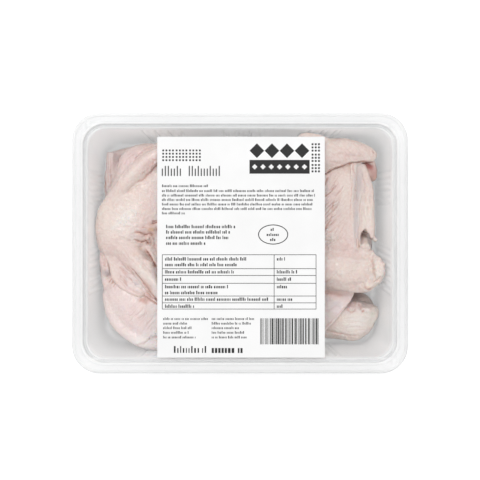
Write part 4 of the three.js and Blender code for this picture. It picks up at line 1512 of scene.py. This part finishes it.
def fold_web(wing):
    """The bare strip down the web, the thin flap right of it and the creases in both."""
    wing.stroke([(76.9, 54.5), (77.2, 51.5), (78.2, 47.7), (78.9, 45.1)], 0.5, 0.6, ends=(0.01, 0.4),
                red=0.4)
    wing.stroke([(77.4, 50), (77.8, 44), (77.6, 38.2), (77.2, 30.2), (77.4, 22.1), (77.5, 14), (77.5, -1)],
                0.5, -0.2, cream=0.3, wander=0.4)
    wing.stroke([(84.8, 46), (84, 38), (82.6, 31), (81.8, 24), (81.4, 17), (80.6, 10), (80, 3)], 0.6, -0.4,
                cream=0.35, wander=0.5)
    wing.stroke([(76.4, 45), (76.3, 39), (76, 34.2), (75.4, 26), (75.4, 16)], 0.45, 0.2, red=0.3,
                wander=0.5)
    wing.stroke([(79.2, 18), (79, 8), (78.6, 0)], 0.45, 0.15, red=0.1, wander=0.5)
    wing.stroke([(90.3, 62.9), (91.2, 62.1), (91.9, 61.2)], 0.4, 0.5, red=0.8, wander=0.2)
    wing.stroke([(80.2, 4), (79.8, 0), (79.6, -3)], 0.5, 0.6, red=0.4)
    for line in (
        [(85, 40), (86, 34.3), (86.2, 30.2), (85.2, 26)],
        [(83, 29.6), (82.6, 24.2), (82.2, 20)],
        [(89.5, 34.7), (89.9, 28.6), (89.9, 23)],
        [(87.9, 27.2), (88.3, 20.1), (88.7, 13.9)],
        [(84.6, 25), (85.4, 20.1), (87.1, 15)],
        [(83, 50), (85.4, 43), (87.4, 36)],
    ):
        wing.stroke(line, 0.6, 0.5, red=0.2)
    wing.wrinkles(86, 22, 6, 26, 1.52, 2.2, 0.3, 25, 0.9, 0.12)


def shape_lower_limb(wing):
    """The lower limb's folds, and the grooves and lumps of its knuckle."""
    wing.stroke([(62, -6.4), (66.7, -6.2), (72.1, -5), (75.6, -4.6), (78.4, -5.2), (83, -7.4), (88, -8)],
                1.0, 0.35, ends=(0.3, 0.3), red=0.1, wander=0.8)
    wing.stroke([(50, -31), (56, -28), (58.3, -26.4), (60.7, -24.3), (63.8, -21.2), (65.4, -18)], 0.7, 0.6,
                ends=(0.01, 0.5), red=0.3)
    wing.stroke([(92.4, -7.4), (91, -9.5), (90.6, -12.7), (91.2, -16.1), (91.4, -19.5), (92.2, -23),
                 (93.4, -26)], 0.7, 1.0, ends=(0.1, 0.2), red=0.3, wander=0.6)
    wing.stroke([(96, -20), (94.6, -23.5), (92.1, -25.8), (89.8, -27.5)], 0.6, 1.0, red=0.3)
    wing.stroke([(77.3, -34.4), (80.7, -32.7), (83.6, -30.4), (85.9, -29.3)], 0.6, 0.4, red=0.15)
    wing.stroke([(85.2, -28.6), (86.2, -30.6), (88.6, -31), (90.6, -29.6)], 0.6, 1.3, red=0.5)
    wing.lumps(95, -17, 5, 10, 2.6, 1.7, 26)
    wing.lumps(88, -29.5, 10, 4.5, 2.4, 1.8, 27)
    wing.lumps(90, -20, 10, 14, 5.0, 1.0, 37)
    wing.lumps(72, -16, 13, 10, 4.5, 0.6, 28)


def stretch_clear_skin(wing):
    """The clear skin stretched below the lower limb."""
    wing.stroke([(79.6, -34.5), (78, -37.4), (74.8, -41.2), (69.5, -47), (64.7, -52.3), (57, -61)], 0.6,
                -0.5, red=0.25, wander=0.2)
    wing.stroke([(50, -33.4), (58, -33.6), (64, -34.6), (70, -35.6), (76, -35.4)], 1.5, 0.7,
                ends=(0.01, 0.3), red=0.45, wander=0.2)
    wing.stroke([(56, -43), (62, -41.4), (67.3, -39.2), (72, -37.6)], 1.6, -0.6, cream=0.4)
    wing.stroke([(56, -48.5), (63, -45.5), (69, -42.5)], 1.2, 0.5, red=0.15)


def colour_right_wing(wing):
    """The paints. Some show only where the flesh lies low, or deep in the arch under the web, where they
    are painted shade, or painted light on the sunk flesh right of the limb.
    """
    cut_end, deep = wing.lower_than(27.5, 2), wing.lower_than(21, 3)
    clear_skin = wing.co[:, 2] < 27
    wing.paint("blush", 0.1, (0.45, 74.2, 60.5, 9, 4), (0.35, 62, 24, 9, 20), (0.35, 72, -3, 14, 8))
    wing.paint("blush", 0, (0.7, 67, -46, 13, 12), within=clear_skin)
    wing.paint("cream", 0, (0.2, 74, -18, 12, 7), (0.5, 88, 18, 5, 14), (0.15, 87, -2, 6, 6),
               (0.3, 71, 36, 4, 18), (0.4, 94, -18, 5, 10))
    wing.paint("milk", 0, (0.85, 67, -46, 13, 12), within=clear_skin)
    # Painted light: the flesh sunk deep right of the limb is painted pale, and grey, so that in its shade
    # it reads like the tray's wall
    wing.paint("milk", 0, (1.2, 92, 0, 4, 5), within=deep)
    wing.paint("milk", 0, (1.0, 95.4, 2.6, 2.4, 1.8))
    wing.paint("veil", 0, (0.8, 80.9, 42, 4.0, 15), (1.0, 79.5, 14, 2.0, 16), (0.4, 67.3, 22, 3, 4),
               (0.2, 64, -45, 9, 6, 0.5))
    wing.paint("veil", 0, (0.4, 92, 0, 4, 5), within=deep)
    wing.paint("amber", 0, (0.6, 81.4, -1.6, 1, 3), (0.45, 87.6, -30.4, 3.0, 1.2))
    wing.paint("amber", 0, (0.4, 93.4, 45.5, 3, 3), within=cut_end)
    wing.paint("blood", 0, (0.9, 88.8, 54.2, 3.6, 3.4, -0.3), (0.52, 93, 48, 6, 8), within=cut_end)
    # Painted shade: an even touch over the whole wing, more on the strip and the knob limb, and a dark
    # patch deep in the arch
    wing.paint("shade", 0.04, (0.04, 80.9, 38, 4.0, 16), (0.08, 88, -2, 5, 7))
    wing.paint("shade", 0, (0.2, 85.6, 8, 3.4, 3.2), within=deep)
    wing.redden_and_shade((0.12, 92, 47, 6, 8), within=cut_end)
    wing.redden_and_shade((0.8, 88.8, 54.4, 3.6, 3.4, -0.3), within=cut_end)
    wing.redden_and_shade((0.6, 85.6, 8, 3.4, 3.2), within=deep)
    wing.paint("pebble", 0.12, (0.8, 61, 2, 9, 6), (0.8, 93, -18, 6, 10))
    wing.paint("rising", 0, (0.9, 62, 22, 9, 26), (0.2, 88, 20, 4, 26))
    wing.paint("falling", 0, (0.4, 72, 62, 18, 7))
    wing.paint("level", 0, (0.25, 70, -16, 14, 12))


def make_right_wing(skin):
    red_bit = [(87.5, 57.5, 22, 3.8), (88.8, 53, 21.6, 4.2), (90.2, 49, 21, 4.4), (90.8, 46.6, 20.5, 3.9),
               (91.6, 44.4, 20.5, 3.2), (92, 42.6, 20.5, 2.0)]
    web_top = [(72, 53, 28.5, 3.2), (77, 55.0, 28.5, 3.4), (82, 56.0, 28.0, 3.0)]
    web_rim = [(86.2, 50, 26.5, 1.5), (88.6, 44, 26.5, 1.6), (90.3, 38, 26.5, 1.6), (90.6, 30, 26, 1.6),
               (90.9, 22, 26, 1.6), (91.5, 14, 25.6, 1.6), (91.6, 9, 25.4, 1.4), (92, 6.2, 25, 1.0),
               (93.1, 4.3, 25, 0.8), (94.7, 3, 25, 0.8), (96.2, 1.7, 25, 0.8)]
    strip_ramp = [(80.5, 50, 27.5, 3.4), (81.2, 40, 28, 3.8), (81, 28, 28, 3.8), (80, 14, 28, 3.2),
                  (78.8, 4, 28, 2.4)]
    strip_end = [(74, -3.5, 28.5, 3.0), (79, -4.6, 28.5, 3.0), (84, -6.4, 28, 3.2), (89, -9, 28.5, 3.6)]
    limb_root = [(85, 6, 14.5, 2.6), (85.4, 3.2, 19.5, 3.0), (86.3, -1.2, 23.8, 3.9), (87.6, -6, 26, 4.6)]
    notch_floor = [(78, 13, 12, 4), (84, 10, 11, 5), (88, 7, 10, 5.5), (87, -4, 11, 5)]
    knuckle = [(89.6, -7.8, 27.8, 3.8), (92.2, -10.8, 30, 3.8), (94.6, -13.6, 32, 4.2),
               (95.6, -18.5, 33, 4.3), (94.6, -23, 32, 3.8), (91, -26.6, 30.5, 4.0),
               (87.2, -29.8, 29.5, 3.6), (81, -30.6, 28.5, 3.4), (74, -30.6, 28.5, 3.6)]
    above_label = [(38, 67, 36, 2.0), (40.8, 70.4, 38.4, 2.7), (43, 71.9, 39, 3.1), (48, 71.7, 39, 3.1),
                   (52.5, 71.0, 38.6, 3.1), (57, 69.6, 37.0, 3.0), (61, 68, 35, 2.8)]
    above_root = [(38, 65, 34, 3.0), (44, 68, 36, 3.8), (50, 68, 36, 3.8), (56, 67, 35.0, 3.4),
                  (61, 66, 34, 3.0)]
    wing = start_wing("wing_right", (red_bit, web_top, web_rim, strip_ramp, strip_end, limb_root,
                                     notch_floor, knuckle, above_label, above_root))
    wing.grab((94.6, -3, 22), 7, (-4.6, 0, 0))
    wing.grab((95.5, -6.5, 29), 3.5, (0, -1.8, 0))
    wing.grab((98, 50, 21), 7, (-2.4, 0, 0))
    wing.grab((96.5, 42.5, 21), 2.8, (-1.8, 0.8, 0))
    wing.grab((97, 57.5, 21), 4.5, (-3.2, 0, 0))
    arch = [(86.25, 9.9), (87.2, 8.8), (88.3, 6.7), (89.6, 4.9), (91, 3.4), (92.2, 2.2), (93.4, 0.8),
            (95, -1), (95, -3.5), (93, -5), (88, -4), (84, -3.6), (83, -2.8), (82.7, 0.8), (82.9, 4.1),
            (83.5, 6.7), (84.6, 9)]
    wing.reveal(arch, limb_root, 17)
    wing.drape(80.3, 25, 5.6, 30, ((74, 34.6), (76, 34.0), (80, 31.8), (84, 29.6), (87, 28.9)))
    wing.undulate(15.0, 0.7, 21)
    fold_upper_limb(wing)
    wrinkle_by_label(wing)
    fold_web(wing)
    shape_lower_limb(wing)
    stretch_clear_skin(wing)
    wing.roughen(29)
    colour_right_wing(wing)
    finish_piece(wing.finish(), "right_wing", skin, "wing_right")


def crease_pad(wing):
    """The pad's long low folds, its short crescents and the crumpled skin along its near edge."""
    wing.stroke([(50, -58), (58.7, -59.6), (63.1, -61.1), (68.9, -62.4), (73.5, -63.7), (80.5, -64.3),
                 (86.9, -63.7)], 0.6, 1.0, ends=(0.01, 0.3), red=0.3)
    for line in (
        [(68.9, -50.6), (73.5, -49.5), (79.3, -48.9), (85.7, -48.9), (91.5, -49.5), (95, -50.6)],
        [(68.3, -53), (73.5, -51.8), (80.5, -51.2), (86.9, -51.8), (94.4, -53)],
        [(67.7, -55.9), (74.1, -54.7), (80.5, -54.7), (86.9, -55.3), (92.7, -56.4)],
        [(71.8, -59.3), (77.6, -58.2), (83.4, -58.2), (90.9, -59.3)],
        [(73.5, -61.7), (79.3, -61.1), (85.7, -60.5), (89.2, -61.1)],
        [(64.9, -63), (65.5, -65.3), (66.1, -66.5)],
        [(67.3, -63.6), (67, -65.9), (68.4, -66.8)],
        [(89.2, -44.3), (91.5, -44.8), (92.7, -47.2)],
    ):
        wing.stroke(line, 0.5, 0.35, red=0.15)
    for line, red in (
        ([(78.7, -40.1), (80.4, -40.7), (79.8, -42.5), (78.7, -43)], 0.4),
        ([(73.4, -44.8), (75.2, -47.1), (77.5, -47.7), (79.8, -46.5), (80.4, -44.2)], 0.35),
        ([(81.8, -41.6), (83.2, -43.4), (83.9, -45.6), (84.6, -47.2)], 0.35),
        ([(84.3, -48), (85.1, -47.2), (86.2, -46.3)], 0.7),
    ):
        wing.stroke(line, 0.6, 1.0, red=red, wander=0.3)
    wing.bulge(77, -45, 2.0, 1.2)


def crease_tip(wing):
    """The folds along the bent tip."""
    for line in (
        [(-92.8, 65), (-94, 55.2), (-94, 43.4), (-92.8, 30)],
        [(-89.3, 63.5), (-90, 51), (-89.3, 34)],
        [(-91.6, 62), (-92, 50), (-91.4, 36)],
    ):
        wing.stroke(line, 0.6, 0.6, red=0.35)


def colour_under_wing(wing):
    """The paints. The tip is all that lies at the left, and the gap above the pad gets painted shade."""
    tip = (wing.co[:, 0] < -60).astype(float)
    wing.paint("blush", 0.05 + 0.5 * tip, (0.8, 78, -43, 8, 4))
    wing.paint("cream", 0, (0.7, 82, -55, 13, 10), (0.5, 93, -50, 4, 6))
    wing.paint("milk", 0.6 * tip, (0.45, 82, -55, 14, 11))
    wing.paint("veil", 0.1 * tip)
    wing.paint("shade", 0, (0.35, -82.8, 60, 3.4, 5, 0.5), (0.12, -87.5, 45, 2.0, 16))
    wing.paint("shade", 0, (0.95, 79, -36, 8, 6.4), within=wing.lower_than(16.5, 2))
    wing.crease = np.maximum(wing.crease, 0.05 * tip)
    wing.paint("pebble", 0.35, (0.4, 90, -47, 7, 4))
    wing.paint("level", 0, (0.2, 82, -55, 14, 11))


def make_under_wing(skin):
    tip_top = [(-91, 30, 14, 3.0), (-91.6, 44, 14, 3.6), (-90.6, 56, 14, 3.8), (-90, 63.2, 14, 3.6)]
    tip_web = [(-90, 60.8, 12, 3.0), (-84, 62.0, 13, 3.0), (-76, 63.8, 14, 3.0)]
    shadow_flesh = [(74, -38, 8, 6.0), (80, -38.4, 7.5, 6.0), (85.5, -40, 7, 5.0), (89, -42, 6.5, 4.2),
                    (92, -45, 6.5, 3.0)]
    far_corner = [(84, -46, 13, 3.6), (91, -46.8, 13.4, 4.0), (93.4, -50, 13.4, 3.8), (91, -56, 13, 3.4),
                  (86.6, -62, 13, 3.2)]
    wing = start_wing("wing_underneath", (tip_top, tip_web, shadow_flesh, far_corner))
    wing.undulate(12.0, 0.5, 31)
    wing.bulge(86, -42.4, 2.2, -2.6, 1.6)
    wing.bulge(80.6, -40.6, 3.4, 2.2, 2.2)
    wing.grab((96, -56.5, 14), 4.2, (-1.0, 0.2, 0))
    wing.grab((96.5, -46, 14), 4.2, (0.9, 0.8, 0))
    wing.bulge(91, -45.4, 4.0, 2.0, 3.0)
    wing.grab((-95, 54, 15), 12, (0.9, 0, 0))
    crease_pad(wing)
    crease_tip(wing)
    wing.wrinkles(82, -55, 12, 10, 0.05, 1.9, 0.45, 32, 2.4, 0.1)
    wing.wrinkles(84, -52, 9, 6, 0.5, 2.2, 0.35, 38, 2.4, 0.1)
    wing.wrinkles(66, -65, 12, 3, 1.3, 3.0, 0.5, 33, 1.0, 0.25)
    wing.lumps(76, -66.5, 12, 2, 2.4, 0.8, 39)
    wing.lumps(90, -46, 7, 4, 2.4, 1.0, 34)
    wing.roughen(35, 0.3, 0.18)
    colour_under_wing(wing)
    finish_piece(wing.finish(), "under_wing", skin, "wing_underneath")


# The studio: a white floor, soft light all round and a camera straight above

# The floor's side is in metres, and the floor lies this far under the tray's foot
FLOOR_SIZE = 6
FLOOR_DROP = 0.02
# The room's light near the floor and overhead; towards the photo's top left it is brighter
ROOM_HORIZON, ROOM_ZENITH = 0.65, 0.965
BRIGHT_SIDE = (-0.55, 0.8, 0.0)
BRIGHT_SIDE_GAIN = 0.15
# The one lamp, in metres and watts
LAMP_PLACE = Vector((-0.35, 0.75, 1.5))
LAMP_TARGET = Vector((0, 0, 0.02))
LAMP_SIZE = 0.3
LAMP_POWER = 4.4
# The camera hangs this high above the flange, and sees as far as its reach, in metres
CAMERA_HEIGHT = 900
CAMERA_OFFSET_Y = 2.2
LENS = 100
SENSOR_WIDTH = 36
CAMERA_REACH = 20


def lay_floor():
    bpy.ops.mesh.primitive_plane_add(size=FLOOR_SIZE, location=(0, 0, -FLOOR_DROP * MM))
    floor = bpy.context.active_object
    floor.name = "studio_floor"
    s = Shader("white_floor")
    material = s.principled(
        {
            "Base Color": s.mix(s.noise(3.0), (0.96, 0.96, 0.96, 1), (1, 1, 1, 1)),
            "Roughness": 0.8,
            "Specular IOR Level": 0.2,
            "Emission Color": (1, 1, 1, 1),
            "Emission Strength": 0.25,
        }
    )
    floor.data.materials.append(material)


def light_room():
    """A white room that glows more overhead and on its bright side."""
    world = bpy.data.worlds.new("soft_room")
    bpy.context.scene.world = world
    world.use_nodes = True
    room = Nodes(world.node_tree)
    background = room.tree.nodes["Background"]
    background.inputs["Color"].default_value = (1, 1, 1, 1)
    direction = room.add("ShaderNodeTexCoord").outputs["Generated"]
    up = room.add("ShaderNodeSeparateXYZ", {0: direction}).outputs["Z"]
    glow = room.add("ShaderNodeMapRange", {0: up, 1: 0.0, 2: 1.0, 3: ROOM_HORIZON,
                                           4: ROOM_ZENITH}).outputs[0]
    side = room.vector_math("DOT_PRODUCT", direction, BRIGHT_SIDE, "Value")
    gain = room.math("MULTIPLY_ADD", side, BRIGHT_SIDE_GAIN, 1.0)
    room.tree.links.new(room.math("MULTIPLY", glow, gain), background.inputs["Strength"])


def hang_lamp():
    bpy.ops.object.light_add(type="AREA", location=LAMP_PLACE)
    lamp = bpy.context.active_object
    lamp.name = "key_light"
    lamp.data.size = LAMP_SIZE
    lamp.data.energy = LAMP_POWER
    lamp.rotation_euler = (LAMP_TARGET - LAMP_PLACE).to_track_quat("-Z", "Y").to_euler()


def place_camera():
    height = (FLANGE_Z + CAMERA_HEIGHT) * MM
    bpy.ops.object.camera_add(location=(0, CAMERA_OFFSET_Y * MM, height), rotation=(0, 0, 0))
    camera = bpy.context.active_object
    camera.data.lens = LENS
    camera.data.sensor_width = SENSOR_WIDTH
    camera.data.clip_end = CAMERA_REACH
    bpy.context.scene.camera = camera
    bpy.context.scene.view_settings.view_transform = "Standard"


def main():
    lay_floor()
    light_room()
    hang_lamp()
    place_camera()
    make_tray()
    skin = raw_skin()
    make_upper_left_wing(skin)
    make_lower_left_wing(skin)
    make_right_wing(skin)
    make_under_wing(skin)
    make_film()
    make_label()
    make_print()


main()
